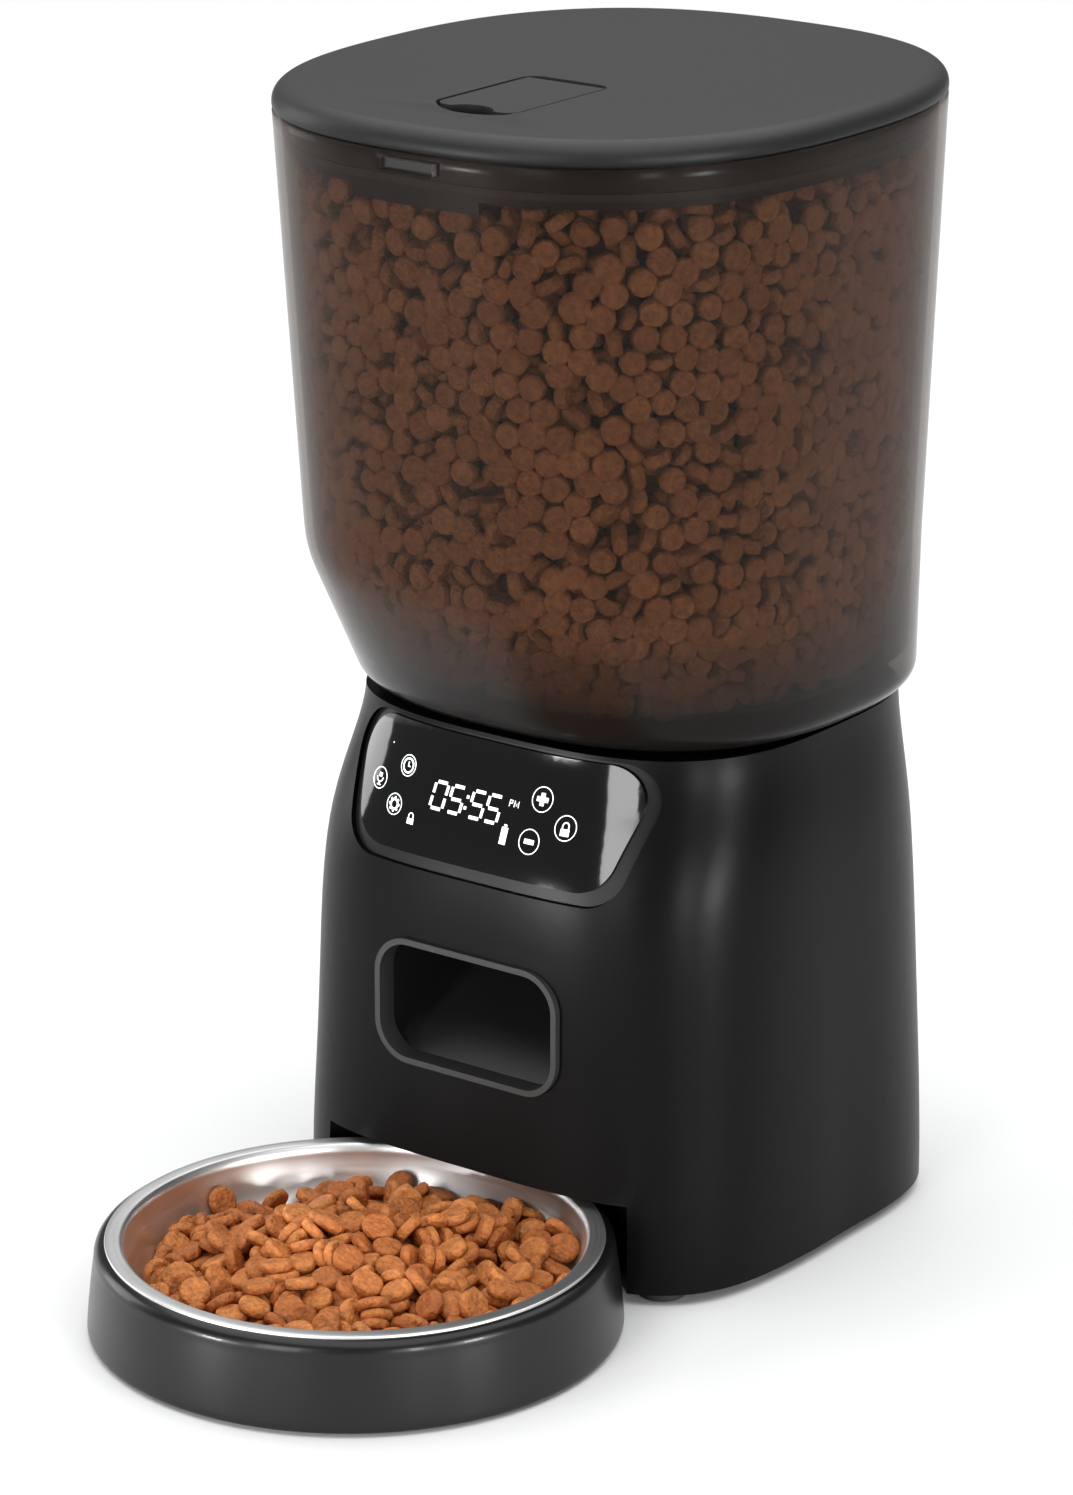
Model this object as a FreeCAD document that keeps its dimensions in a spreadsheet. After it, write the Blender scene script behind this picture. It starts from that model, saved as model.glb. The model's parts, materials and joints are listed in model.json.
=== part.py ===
import FreeCAD, Part
import math
import os
import Sketcher

# Automatic dry-food feeder for a cat or small dog. Millimetres, +Z up, the front faces -Y.
# The origin is on the table under the middle of the whole object's box.

os.makedirs("parts", exist_ok=True)
doc = FreeCAD.newDocument("PetFeeder")
sheet = doc.addObject("Spreadsheet::Sheet", "Sizes")

drivingSizes = {
    "rim_width": 197.6, "rim_depth": 220.8, "overall_depth": 345.5, "seam_level": 386,
    "hopper_wall": 2.6, "hopper_floor": 184, "floor_round": 8, "floor_slope": 9, "crease_level": 238,
    "hopper_lean": 5.8, "hopper_tuck": 3.6, "front_lean": 11, "front_tuck": 33, "rear_lean": 5.5,
    "seam_gap": 0.6, "throat_gap": 0.8, "slot_clearance": 0.4,
    "lid_height": 8, "lid_round": 6, "lid_wall": 2.4, "sleeve_gap": 1.9, "sleeve_wall": 1.8,
    "sleeve_depth": 14, "tab_depth": 18, "tab_width": 50, "seal_size": 2.5,
    "hinge_radius": 3.5, "hinge_standoff": 3.9, "hinge_pin_radius": 1.5, "hinge_lug": 12,
    "base_width": 183, "base_depth": 172.8, "base_top": 183, "base_bottom": 4, "base_wall": 2.8,
    "base_rear_inset": 18.3, "base_side_lean": 8, "base_front_lean": 17, "deck_thickness": 3,
    "tray_radius": 88, "tray_height": 31.2, "tray_wall": 2.4, "tray_clearance": 2,
    "recess_top": 35, "flange_inset": 6.1, "flange_width": 5.4, "bowl_depth": 26, "bowl_sheet": 0.8,
    "pad_height": 1.2, "foot_radius": 8, "plate_thickness": 2.5,
    "well_radius": 54, "well_floor": 128, "well_wall": 2.4, "well_setback": 97, "well_flange": 7,
    "neck_gap": 1, "neck_wall": 3, "neck_drop": 15, "rotor_height": 30, "hub_radius": 12,
    "vane_thickness": 2.2, "wiper_gap": 0.4, "shaft_radius": 3, "running_gap": 0.06,
    "outlet_near": 24, "outlet_far": 50, "outlet_width": 52,
    "chute_width": 71.4, "chute_low": 69.1, "chute_high": 109.2, "chute_round": 11.5,
    "chute_wall": 2, "frame_lip": 2.2,
    "tooth_module": 0.7, "gear_width": 6, "motor_radius": 13.5, "motor_height": 34,
    "panel_top": 180.5, "panel_bottom": 140, "panel_half_top": 61, "panel_half_bottom": 50,
    "panel_round": 13, "panel_thickness": 1.4, "bezel_margin": 4.5, "bezel_drop": 1.6,
    "cell_radius": 16.6, "cell_length": 61, "box_wall": 1.8,
    "lever_width": 31, "lever_length": 51.5, "lever_front": 35.5, "lever_thickness": 2.8,
    "bolt_width": 21, "bolt_thickness": 3.4, "bolt_below_seam": 5, "latch_drop": 18,
}
for row, (alias, amount) in enumerate(drivingSizes.items(), start=1):
    sheet.set("A%d" % row, alias)
    sheet.set("B%d" % row, str(amount))
    sheet.setAlias("B%d" % row, alias)
doc.recompute()


class Dim:
    """A size with its value and the same size as an expression on the sheet."""

    def __init__(self, value, text):
        self.value = value
        self.text = text

    def join(self, other, sign, value):
        return Dim(value, "(%s %s %s)" % (self.text, sign, textOf(other)))

    def __add__(self, other):
        return self.join(other, "+", self.value + valueOf(other))

    def __sub__(self, other):
        return self.join(other, "-", self.value - valueOf(other))

    def __mul__(self, other):
        return self.join(other, "*", self.value * valueOf(other))

    def __truediv__(self, other):
        return self.join(other, "/", self.value / valueOf(other))

    def __neg__(self):
        return Dim(-self.value, "(-1 * %s)" % self.text)

    def __radd__(self, other):
        return Dim(other, str(other)) + self

    def __rsub__(self, other):
        return Dim(other, str(other)) - self

    def __rmul__(self, other):
        return Dim(other, str(other)) * self


def textOf(amount):
    return amount.text if isinstance(amount, Dim) else str(amount)


def valueOf(amount):
    return amount.value if isinstance(amount, Dim) else amount


def size(alias):
    return Dim(float(sheet.get(alias)), "Sizes.%s" % alias)


def value(alias):
    return size(alias).value


def vector(x, y, z):
    return FreeCAD.Vector(valueOf(x), valueOf(y), valueOf(z))


# ---------------------------------------------------------------- places worked out from sizes
rimHalf = size("rim_width") / 2
rimRear = size("overall_depth") / 2 - size("hinge_radius") - size("hinge_standoff")
rimFront = rimRear - size("rim_depth")
seam = size("seam_level")
hingeY = rimRear + size("hinge_standoff")
hingeZ = seam - 2
trayY = size("tray_radius") - size("overall_depth") / 2
baseHalf = size("base_width") / 2
baseRear = rimRear - size("base_rear_inset")
baseFront = baseRear - size("base_depth")
deckTop = size("base_top")
deckUnder = deckTop - size("deck_thickness")
baseLow = size("base_bottom")
wellY = baseFront + size("well_setback")
wellFloor = size("well_floor")
recessRadius = size("tray_radius") + size("tray_clearance")
neckOut = size("well_radius") - size("neck_gap")
neckIn = neckOut - size("neck_wall")
lidTop = seam + size("lid_height")
lidUnder = lidTop - size("lid_wall")
plateTop = baseLow + size("plate_thickness")

# ---------------------------------------------------------------- helpers


def place(obj, x=0, y=0, z=0):
    """Bind an object's position to the sheet."""
    for axis, distance in (("x", x), ("y", y), ("z", z)):
        if isinstance(distance, Dim):
            obj.setExpression("Placement.Base." + axis, distance.text)
        else:
            setattr(obj.Placement.Base, axis, distance)
    return obj


def bind(obj, prop, amount):
    if isinstance(amount, Dim):
        obj.setExpression(prop, amount.text)
    else:
        setattr(obj, prop, amount)


def turned(obj, axis, angle):
    """Turn a primitive, keeping the bound position."""
    obj.Placement = FreeCAD.Placement(obj.Placement.Base, FreeCAD.Rotation(vector(*axis), angle))
    return obj


def box(name, x0, x1, y0, y1, z0, z1):
    """Box between two corners."""
    obj = doc.addObject("Part::Box", name)
    place(obj, asDim(x0), asDim(y0), asDim(z0))
    bind(obj, "Length", asDim(x1) - x0)
    bind(obj, "Width", asDim(y1) - y0)
    bind(obj, "Height", asDim(z1) - z0)
    return obj


def asDim(amount):
    return amount if isinstance(amount, Dim) else Dim(amount, str(amount))


def rod(name, radius, length, x, y, z, axis="z"):
    """Cylinder that starts at a point and runs along an axis."""
    obj = doc.addObject("Part::Cylinder", name)
    if axis == "x":
        turned(obj, (0, 1, 0), 90)
    if axis == "y":
        turned(obj, (1, 0, 0), -90)
    place(obj, asDim(x), asDim(y), asDim(z))
    bind(obj, "Radius", asDim(radius))
    bind(obj, "Height", asDim(length))
    return obj


def fuse(name, *pieces):
    obj = doc.addObject("Part::MultiFuse", name)
    obj.Shapes = list(pieces)
    obj.Refine = True
    return obj


def cut(name, base, *tools):
    tool = tools[0] if len(tools) == 1 else fuse(name + "_cutters", *tools)
    obj = doc.addObject("Part::Cut", name)
    obj.Base = base
    obj.Tool = tool
    return obj


def common(name, first, second):
    obj = doc.addObject("Part::Common", name)
    obj.Base = first
    obj.Tool = second
    return obj


def group(name, pieces):
    """Several separate solids in one sub-part."""
    obj = doc.addObject("Part::Compound", name)
    obj.Links = pieces
    return obj


def feature(name, shape):
    obj = doc.addObject("Part::Feature", name)
    obj.Shape = shape
    return obj


def turnedBody(name, outline, y):
    """Body of revolution about a vertical axis at y, from (radius, height) corners."""
    body = doc.addObject("PartDesign::Body", name)
    plane = [p for p in body.Origin.OriginFeatures if p.Role == "XZ_Plane"][0]
    sketch = body.newObject("Sketcher::SketchObject", name + "_outline")
    sketch.AttachmentSupport = (plane, "")
    sketch.MapMode = "FlatFace"
    corners = [vector(r, z, 0) for r, z in outline]
    for first, second in zip(corners, corners[1:] + corners[:1]):
        sketch.addGeometry(Part.LineSegment(first, second))
    count = len(corners)
    for index in range(count):
        sketch.addConstraint(Sketcher.Constraint("Coincident", index, 2, (index + 1) % count, 1))
    for index, (radius, height) in enumerate(outline):
        for kind, amount, line in (("DistanceX", radius, -2), ("DistanceY", height, -1)):
            if abs(valueOf(amount)) < 1e-9:
                sketch.addConstraint(Sketcher.Constraint("PointOnObject", index, 1, line))
                continue
            number = sketch.addConstraint(Sketcher.Constraint(kind, -1, 1, index, 1, valueOf(amount)))
            if isinstance(amount, Dim):
                sketch.setExpression("Constraints[%d]" % number, amount.text)
    spin = body.newObject("PartDesign::Revolution", name + "_turn")
    spin.Profile = sketch
    spin.ReferenceAxis = (sketch, ["V_Axis"])
    spin.Angle = 360
    body.Tip = spin
    place(body, 0, y, 0)
    return body


def ovalWire(half, front, rear, level, power):
    """Superellipse |x/half|^power + |y/depth|^power = 1 as one closed curve."""
    half, front, rear, level = [valueOf(v) for v in (half, front, rear, level)]
    middle, depth = (front + rear) / 2, (rear - front) / 2
    points = []
    for step in range(40):
        angle = 2 * math.pi * step / 40
        across, along = math.cos(angle), math.sin(angle)
        points.append(FreeCAD.Vector(
            half * math.copysign(abs(across) ** (2 / power), across),
            middle + depth * math.copysign(abs(along) ** (2 / power), along), level))
    curve = Part.BSplineCurve()
    curve.interpolate(points, PeriodicFlag=True)
    return Part.Wire(curve.toShape())


def roundedPrism(halfTop, halfBottom, low, high, radius, front, rear):
    """Prism along Y whose face is a trapezoid with round corners."""
    halfTop, halfBottom, low, high, radius, front, rear = [
        valueOf(v) for v in (halfTop, halfBottom, low, high, radius, front, rear)]
    corners = [(-halfBottom, low), (halfBottom, low), (halfTop, high), (-halfTop, high)]
    wire = Part.makePolygon([FreeCAD.Vector(x, front, z) for x, z in corners + corners[:1]])
    prism = Part.Face(wire).extrude(FreeCAD.Vector(0, rear - front, 0))
    long = [e for e in prism.Edges if abs(e.Vertexes[0].Y - e.Vertexes[-1].Y) > 1]
    return prism.makeFillet(radius, long)


# ---------------------------------------------------------------- hopper


def hopperSolid(inset, low, high):
    """The tank's outline drawn inset: it leans in to the crease and then tucks under at the front."""
    floor, crease, top = value("hopper_floor"), value("crease_level"), seam.value
    lean, tuck = value("hopper_lean"), value("hopper_tuck")

    def section(level):
        upper = max(0.0, (top - level) / (top - crease)) if level > crease else 1.0
        lower = 0.0 if level > crease else (crease - level) / (crease - floor)
        half = rimHalf.value - lean * upper - tuck * lower - inset
        front = rimFront.value + value("front_lean") * upper + value("front_tuck") * lower + inset
        rear = rimRear.value - value("rear_lean") * upper - tuck * lower - inset
        return ovalWire(half, front, rear, level, 2.5)

    levels = [low] + [z for z in (crease,) if low < z < high] + [high]
    return Part.makeLoft([section(z) for z in levels], True, True)


def boltSlot(front, depth):
    """Cutter for the bolt's slot, from one Y place back."""
    gap = size("slot_clearance")
    half = size("bolt_width") / 2 + gap
    thick = size("bolt_thickness")
    corner = vector(-half, front, boltZ - thick / 2 - gap)
    return Part.makeBox(2 * half.value, depth, (thick + gap * 2).value, corner)


def makeHopper():
    floor, wall = value("hopper_floor"), value("hopper_wall")
    rim = seam.value - value("seam_gap")
    outer = hopperSolid(0, floor, rim)
    bottom = [e for e in outer.Edges if e.BoundBox.ZMax < floor + 1 and e.BoundBox.XLength > 50]
    outer = outer.makeFillet(value("floor_round"), bottom)
    slopeTop = floor + 2 * wall + value("floor_slope")
    inner = hopperSolid(wall, slopeTop, rim + 1)
    throat = neckIn.value + value("throat_gap")
    mouth = ovalWire(throat, wellY.value - throat, wellY.value + throat, floor + wall, 2)
    skirt = [w for w in inner.Wires if w.BoundBox.ZMax < slopeTop + 1e-6][0]
    funnel = Part.makeLoft([mouth, skirt], True, True)
    depth = value("neck_drop")
    neck = Part.makeCylinder(neckOut.value, depth + wall, vector(0, wellY, floor - depth))
    bore = Part.makeCylinder(neckIn.value, depth + 3 * wall, vector(0, wellY, floor - depth - wall))
    tank = outer.fuse(neck).cut(inner.fuse(funnel).fuse(bore))
    tank = tank.cut(boltSlot(rimFront - 4, 12))
    return feature("hopper_tank", tank.removeSplitter())


def lug(name, x0, x1, low, high):
    """Hinge knuckle with a web that reaches back to the piece it belongs to."""
    barrel = rod(name + "_barrel", size("hinge_radius"), x1 - x0, x0, hingeY, hingeZ, "x")
    web = box(name + "_web", x0, x1, rimRear - 2.2, hingeY, low, high)
    return [barrel, web]


boltZ = seam - size("bolt_below_seam")
lugHalf = size("hinge_lug")
pinHole = rod("pin_hole", size("hinge_pin_radius") + size("running_gap"), 80, -40, hingeY, hingeZ, "x")
tank = makeHopper()
tankLugs = []
for side, (x0, x1) in (("left", (-2.2 * lugHalf, -lugHalf - 0.4)), ("right", (lugHalf + 0.4, 2.2 * lugHalf))):
    tankLugs += lug("tank_lug_" + side, x0, x1, hingeZ - size("hinge_radius"), hingeZ)
hopper = cut("hopper", fuse("tank_with_lugs", tank, *tankLugs), pinHole)
hingePin = rod("hinge_pin", size("hinge_pin_radius"), 4.4 * lugHalf, -2.2 * lugHalf, hingeY, hingeZ, "x")

# ---------------------------------------------------------------- lid


def rimRing(outside, inside, low, high):
    """Ring that follows the rim between two insets."""
    def block(inset, z0, z1):
        wires = [ovalWire(rimHalf - inset, rimFront + inset, rimRear - inset, z, 2.5) for z in (z0, z1)]
        return Part.makeLoft(wires, True, True)
    ring = block(outside, low, high)
    return ring.cut(block(inside, low - 1, high + 1)) if inside else ring


leverFront = rimFront + size("lever_front")
leverRear = leverFront + size("lever_length")
leverHalf = size("lever_width") / 2
leverTop = lidTop - 0.2
leverUnder = leverTop - size("lever_thickness")
pivotY = leverRear - 2.5
pivotZ = leverUnder - 2.2
scoopDepth = 8.5
pocketGap = 0.5


def makeLid():
    plate = rimRing(0, None, seam.value, lidTop.value)
    top = [e for e in plate.Edges if e.BoundBox.ZMin > lidTop.value - 0.5 and e.BoundBox.XLength > 50]
    plate = plate.makeFillet(value("lid_round"), top)
    hollow = rimRing(value("lid_wall"), None, seam.value - 1, lidUnder.value)
    return feature("lid_plate", plate.cut(hollow))


lidPocket = box("latch_opening", -leverHalf - pocketGap, leverHalf + pocketGap, leverFront - pocketGap,
                leverRear + 1.2, lidUnder - 1, lidTop + 1)
scoop = rod("finger_scoop", leverHalf - 1, 6, 0, leverFront + leverHalf - 1 - scoopDepth, lidUnder - 1)
lidLug = lug("lid_lug", -lugHalf, lugHalf, seam + 0.3, seam + 3)
lidShell = cut("lid_shell", fuse("lid_with_lug", makeLid(), *lidLug), lidPocket, scoop, pinHole)

sleeveInset = size("hopper_wall") + size("sleeve_gap")
sleeveLow = seam - size("sleeve_depth")
flangeReach, flangeSheet, grooveDepth = 6, 1.6, 0.8


def makeSleeve():
    outside = sleeveInset.value
    inside = outside + value("sleeve_wall")
    ring = rimRing(outside, inside, sleeveLow.value, lidUnder.value)
    deep = rimRing(outside, inside, seam.value - value("tab_depth"), lidUnder.value)
    half = value("tab_width") / 2
    window = Part.makeBox(2 * half, 60, 60, vector(-half, rimFront - 5, seam - 40))
    flange = rimRing(outside, outside + flangeReach, lidUnder.value - flangeSheet, lidUnder.value)
    shape = ring.fuse(deep.common(window)).fuse(flange)
    groove = rimRing(outside - 1, outside + grooveDepth, sealLow, sealLow + value("seal_size"))
    return feature("lid_sleeve", shape.cut(boltSlot(rimFront + 2, 20)).cut(groove).removeSplitter())


sealLow = sleeveLow.value + 2.5
sealProud = 0.5
lidSleeve = makeSleeve()


def makeSeal():
    inner = sleeveInset.value + grooveDepth
    ring = rimRing(sleeveInset.value - sealProud, inner, sealLow, sealLow + value("seal_size"))
    return feature("lid_seal", ring.cut(boltSlot(rimFront + 1, 20)))


lidSeal = makeSeal()

# Latch: the lever lifts at the scoop about a pin near its rear end, and the cross pin on its
# legs rides up a slanted slot in the bolt's ear, which draws the bolt back from the front wall.
# A tension spring between the housing's floor and the cross pin pulls the lever shut.
liftAngle = 18
boltTravel = 5
boltShort = 0.9
springX, springRadius, springWire = 9.4, 2.2, 0.35
earHalf, earBack = 3, 5
crossPinRadius = 1.5
trackRadius = crossPinRadius + 0.7
crossReach, crossDrop = 30, 11
crossY = pivotY - crossReach
crossZ = pivotZ - crossDrop
housingLow = seam - size("latch_drop")
housingFront = leverFront - 15
housingRear = leverRear + 4
housingHalf = leverHalf + 4
housingWall = 1.6


def makeLever():
    plate = box("lever_plate", -leverHalf, leverHalf, leverFront, leverRear, leverUnder, leverTop)
    corners = doc.addObject("Part::Fillet", "lever_round")
    corners.Base = plate
    doc.recompute()
    edges = []
    for number, edge in enumerate(plate.Shape.Edges, start=1):
        span = edge.BoundBox
        upright = span.ZLength > 1
        rearTop = span.YMin > leverRear.value - 0.1 and span.ZMin > leverTop.value - 0.1
        if upright and span.YMax < leverRear.value - 1:
            edges.append((number, 5.0, 5.0))
        elif rearTop:
            edges.append((number, 2.0, 2.0))
    corners.Edges = edges
    scoopCut = rod("lever_scoop", leverHalf * 0.62, 8, 0, leverFront - leverHalf * 0.30, leverUnder - 2)
    legs = []
    for side, x0 in (("left", -earHalf - 3.5), ("right", earHalf + 1.5)):
        legs.append(box("lever_leg_" + side, x0, x0 + 2, crossY - 3, crossY + 3, crossZ - 2, leverUnder))
        legs.append(box("lever_ear_" + side, x0, x0 + 2, pivotY - 3, pivotY + 2.5, pivotZ - 2.5, leverUnder))
    cross = rod("lever_cross_pin", crossPinRadius, earHalf + 3.5 + springX + springRadius + 0.6,
                -earHalf - 3.5, crossY, crossZ, "x")
    whole = fuse("lever_solid", cut("lever_scooped", corners, scoopCut), cross, *legs)
    bore = rod("lever_bore", size("hinge_pin_radius") + size("running_gap"), 40, -20, pivotY, pivotZ, "x")
    return cut("latch_lever", whole, bore)


def makeBolt():
    half = size("bolt_width") / 2
    thick = size("bolt_thickness")
    blade = box("bolt_blade", -half, half, rimFront + size("hopper_wall") + boltShort, crossY - 11,
                boltZ - thick / 2, boltZ + thick / 2)
    ear = box("bolt_ear", -earHalf, earHalf, crossY - 16, crossY + earBack, crossZ - 4.5, leverUnder - 0.6)
    slide = fuse("bolt_solid", blade, ear)
    drop = math.radians(liftAngle)
    back = crossReach * (1 - math.cos(drop)) - crossDrop * math.sin(drop) - boltTravel
    rise = crossReach * math.sin(drop) + crossDrop * (1 - math.cos(drop))
    start = vector(-10, crossY, crossZ)
    reach = FreeCAD.Vector(0, back, rise)
    across = FreeCAD.Vector(0, rise, -back).normalize() * trackRadius
    corners = [start + across, start + reach + across, start + reach - across, start - across]
    track = Part.Face(Part.makePolygon(corners + corners[:1])).extrude(FreeCAD.Vector(20, 0, 0))
    for end in (start, start + reach):
        track = track.fuse(Part.makeCylinder(trackRadius, 20, end, FreeCAD.Vector(1, 0, 0)))
    return cut("latch_bolt", slide, feature("bolt_track", track))


def makeHousing():
    outer = box("housing_block", -housingHalf, housingHalf, housingFront, housingRear, housingLow, lidUnder)
    inner = box("housing_hollow", -housingHalf + housingWall, housingHalf - housingWall,
                housingFront + housingWall, housingRear - housingWall, housingLow + housingWall, lidUnder + 1)
    gap = size("slot_clearance")
    half = size("bolt_width") / 2 + gap
    slot = box("housing_slot", -half, half, housingFront - 1, housingFront + 4,
               boltZ - size("bolt_thickness") / 2 - gap, boltZ + size("bolt_thickness") / 2 + gap)
    pinSeat = rod("housing_pin_seat", size("hinge_pin_radius"), 60, -30, pivotY, pivotZ, "x")
    return cut("latch_housing", outer, inner, slot, pinSeat)


def makeSpring(name, radius, wire, x, y, low, high, turns):
    """Upright coil between two heights."""
    length = valueOf(high) - valueOf(low) - wire * 2
    helix = Part.makeHelix(length / turns, length, radius)
    profile = Part.Wire(Part.makeCircle(wire, FreeCAD.Vector(radius, 0, 0), FreeCAD.Vector(0, 1, 0)))
    spring = feature(name, Part.Wire(helix.Edges).makePipeShell([profile], True, True))
    place(spring, x, y, low + wire)
    return spring


latchLever = makeLever()
latchBolt = makeBolt()
latchHousing = makeHousing()
latchPin = rod("latch_pin", size("hinge_pin_radius"), 2 * housingHalf, -housingHalf, pivotY, pivotZ, "x")
latchSpring = makeSpring("latch_spring", springRadius, springWire, springX, crossY,
                         housingLow + housingWall + 0.05, crossZ - crossPinRadius - 0.05, 5)

# Drying-agent box below the rear half of the lid, closed by a slotted cover
dryHalf, dryDepth, dryHeight, dryWall, dryCover = 34, 46, 15, 1.6, 1.8
dryY = rimRear - 92
dryBlock = box("dry_block", -dryHalf, dryHalf, dryY, dryY + dryDepth, lidUnder - dryHeight, lidUnder)
dryHollow = box("dry_hollow", -dryHalf + dryWall, dryHalf - dryWall, dryY + dryWall,
                dryY + dryDepth - dryWall, lidUnder - dryHeight - 1, lidUnder - dryWall)
desiccantBox = cut("desiccant_box", dryBlock, dryHollow)
coverPlate = box("dry_cover_plate", -dryHalf, dryHalf, dryY, dryY + dryDepth,
                 lidUnder - dryHeight - dryCover, lidUnder - dryHeight)
coverSlots = [box("dry_slot_%d" % n, -24 + 8 * n, -20.5 + 8 * n, dryY + 8, dryY + dryDepth - 8,
                  lidUnder - dryHeight - 3, lidUnder - dryHeight + 1) for n in range(6)]
desiccantCover = cut("desiccant_cover", coverPlate, *coverSlots)

# ---------------------------------------------------------------- base casing

# Each row: share of the height between bottom and top, share of the side lean, of the front lean,
# of the rear lean, and the roundness of the outline.
baseRows = [(0, 0, 0, 0, 3.9), (0.25, 0.08, 0.01, 0.15, 3.8), (0.48, 0.2, 0.04, 0.3, 3.6),
            (0.70, 0.36, 0.11, 0.5, 3.4), (0.77, 0.45, 0.23, 0.6, 3.3), (0.9, 0.8, 0.7, 0.85, 3.1),
            (1.0, 1.0, 1.0, 1.0, 3.0)]


def baseSolid(inset, low, high):
    """The casing's outline drawn inset, between two heights outside which it is cut."""
    bottom, top = baseLow.value, deckTop.value
    wires = []
    for level, side, front, rear, power in baseRows:
        wires.append(ovalWire(
            baseHalf.value - value("base_side_lean") * side - inset,
            baseFront.value + value("base_front_lean") * front + inset,
            baseRear.value - 3 * rear - inset, bottom + (top - bottom) * level, power))
    solid = Part.makeLoft(wires, True, False)
    if low <= bottom and high >= top:
        return solid
    block = Part.makeBox(400, 500, high - low, FreeCAD.Vector(-200, -250, low))
    return solid.common(block)


caseInner = value("base_wall")
plateGap = 0.3
overAll = 500
recessWallThick = 2.2
bossRadius, bossHeight = 4.5, 34
screwRadius = 1.5


def makeShell():
    outer = baseSolid(0, 0, overAll)
    cavity = baseSolid(caseInner, baseLow.value - 5, deckUnder.value)
    wallRadius = recessRadius.value + recessWallThick
    ceiling = value("recess_top") + recessWallThick
    recessWall = Part.makeCylinder(wallRadius, ceiling + 1, vector(0, trayY, -1))
    cavity = cavity.cut(recessWall)
    for x, y in screwSpots:
        boss = Part.makeCylinder(bossRadius, bossHeight, FreeCAD.Vector(x, y, plateTop.value))
        cavity = cavity.cut(boss)
    recess = Part.makeCylinder(recessRadius.value, value("recess_top") + 1, vector(0, trayY, -1))
    shell = outer.cut(cavity).cut(recess)
    bore = Part.makeCylinder(value("well_radius") + 2, 30, vector(0, wellY, deckTop - 15))
    shell = shell.cut(bore)
    for x, y in screwSpots:
        shell = shell.cut(Part.makeCylinder(screwRadius, 20, FreeCAD.Vector(x, y, plateTop.value)))
    front = baseFront.value - 30
    lip = value("frame_lip")
    mouth = roundedPrism(size("chute_width") / 2 + lip, size("chute_width") / 2 + lip,
                         size("chute_low") - lip, size("chute_high") + lip,
                         size("chute_round") + lip, front, front + 50)
    window = displayPrism(value("bezel_margin"), front, front + 70)
    shell = shell.cut(mouth).cut(window)
    shell = shell.cut(Part.makeCylinder(inletRadius + 0.3, 20, vector(inletX, baseRear + 5, inletZ),
                                        FreeCAD.Vector(0, -1, 0)))
    for row in range(5):
        slot = Part.makeBox(26, 20, 2, vector(-13 + speakerX, baseRear - 15, speakerZ - 9 + 4 * row))
        shell = shell.cut(slot)
    tongue = Part.makeBox(25, 12, 5, vector(-12.5, trayY + recessRadius - 4, 12))
    return feature("base_shell", shell.cut(tongue))


def displayPrism(margin, front, rear):
    return roundedPrism(value("panel_half_top") + margin, value("panel_half_bottom") + margin,
                        value("panel_bottom") - margin,
                        min(value("panel_top") + margin, deckTop.value - 1.4),
                        min(value("panel_round") + margin, 14), front, rear)


screwSpots = [(sx * (baseHalf.value - 7.2), (baseFront.value + baseRear.value) / 2 + sy * 40)
              for sx in (-1, 1) for sy in (-1, 1)]
inletX, inletZ, inletRadius = 30, 58, 4.2
speakerX, speakerZ = 0, 90
baseShell = makeShell()


def makePlate():
    inset = caseInner + plateGap
    plate = baseSolid(inset, baseLow.value, plateTop.value)
    clear = recessRadius.value + recessWallThick + plateGap
    plate = plate.cut(Part.makeCylinder(clear, 20, vector(0, trayY, -1)))
    for x, y in screwSpots:
        plate = plate.cut(Part.makeCylinder(screwRadius + plateGap, 20, FreeCAD.Vector(x, y, 0)))
    for x, y in footSpots:
        plate = plate.cut(Part.makeCylinder(value("foot_radius") - studStep, 20, FreeCAD.Vector(x, y, 0)))
    door = Part.makeBox(doorHalf.value * 2 + 0.8, doorDepth.value + 0.8, 20,
                        vector(-doorHalf - 0.4, doorFront - 0.4, 0))
    return feature("bottom_plate", plate.cut(door))


cellPitch = size("cell_radius") * 2 + 0.6
doorHalf = cellPitch * 1.5 + 0.5
doorDepth = size("cell_length") + 5
doorFront = wellY - 4
studStep = 3
footSpots = [(sx * 66, y) for sx in (-1, 1) for y in (baseFront.value + 21, baseRear.value - 26)]
bottomPlate = makePlate()

feet = []
for number, (x, y) in enumerate(footSpots):
    pad = rod("foot_pad_%d" % number, size("foot_radius"), baseLow, x, y, 0)
    stud = rod("foot_stud_%d" % number, size("foot_radius") - studStep, size("plate_thickness") + 1,
               x, y, baseLow - 1)
    feet.append(fuse("foot_%d" % number, pad, stud))
rubberFeet = group("rubber_feet", feet)

screws = []
for number, (x, y) in enumerate(screwSpots):
    head = rod("screw_head_%d" % number, 3, 1.6, x, y, baseLow - 1.6)
    shank = rod("screw_shank_%d" % number, screwRadius, 18, x, y, baseLow - 0.4)
    screws.append(fuse("screw_%d" % number, head, shank))
caseScrews = group("case_screws", screws)

# ---------------------------------------------------------------- display


def skin(outside, inside, prism):
    """Part of the casing's surface between two insets, cut to an outline."""
    layer = baseSolid(outside, 0, overAll).cut(baseSolid(inside, 0, overAll))
    front = Part.makeBox(400, 120, 400, vector(-200, baseFront - 60, 0))
    return layer.common(front).common(prism)


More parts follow.
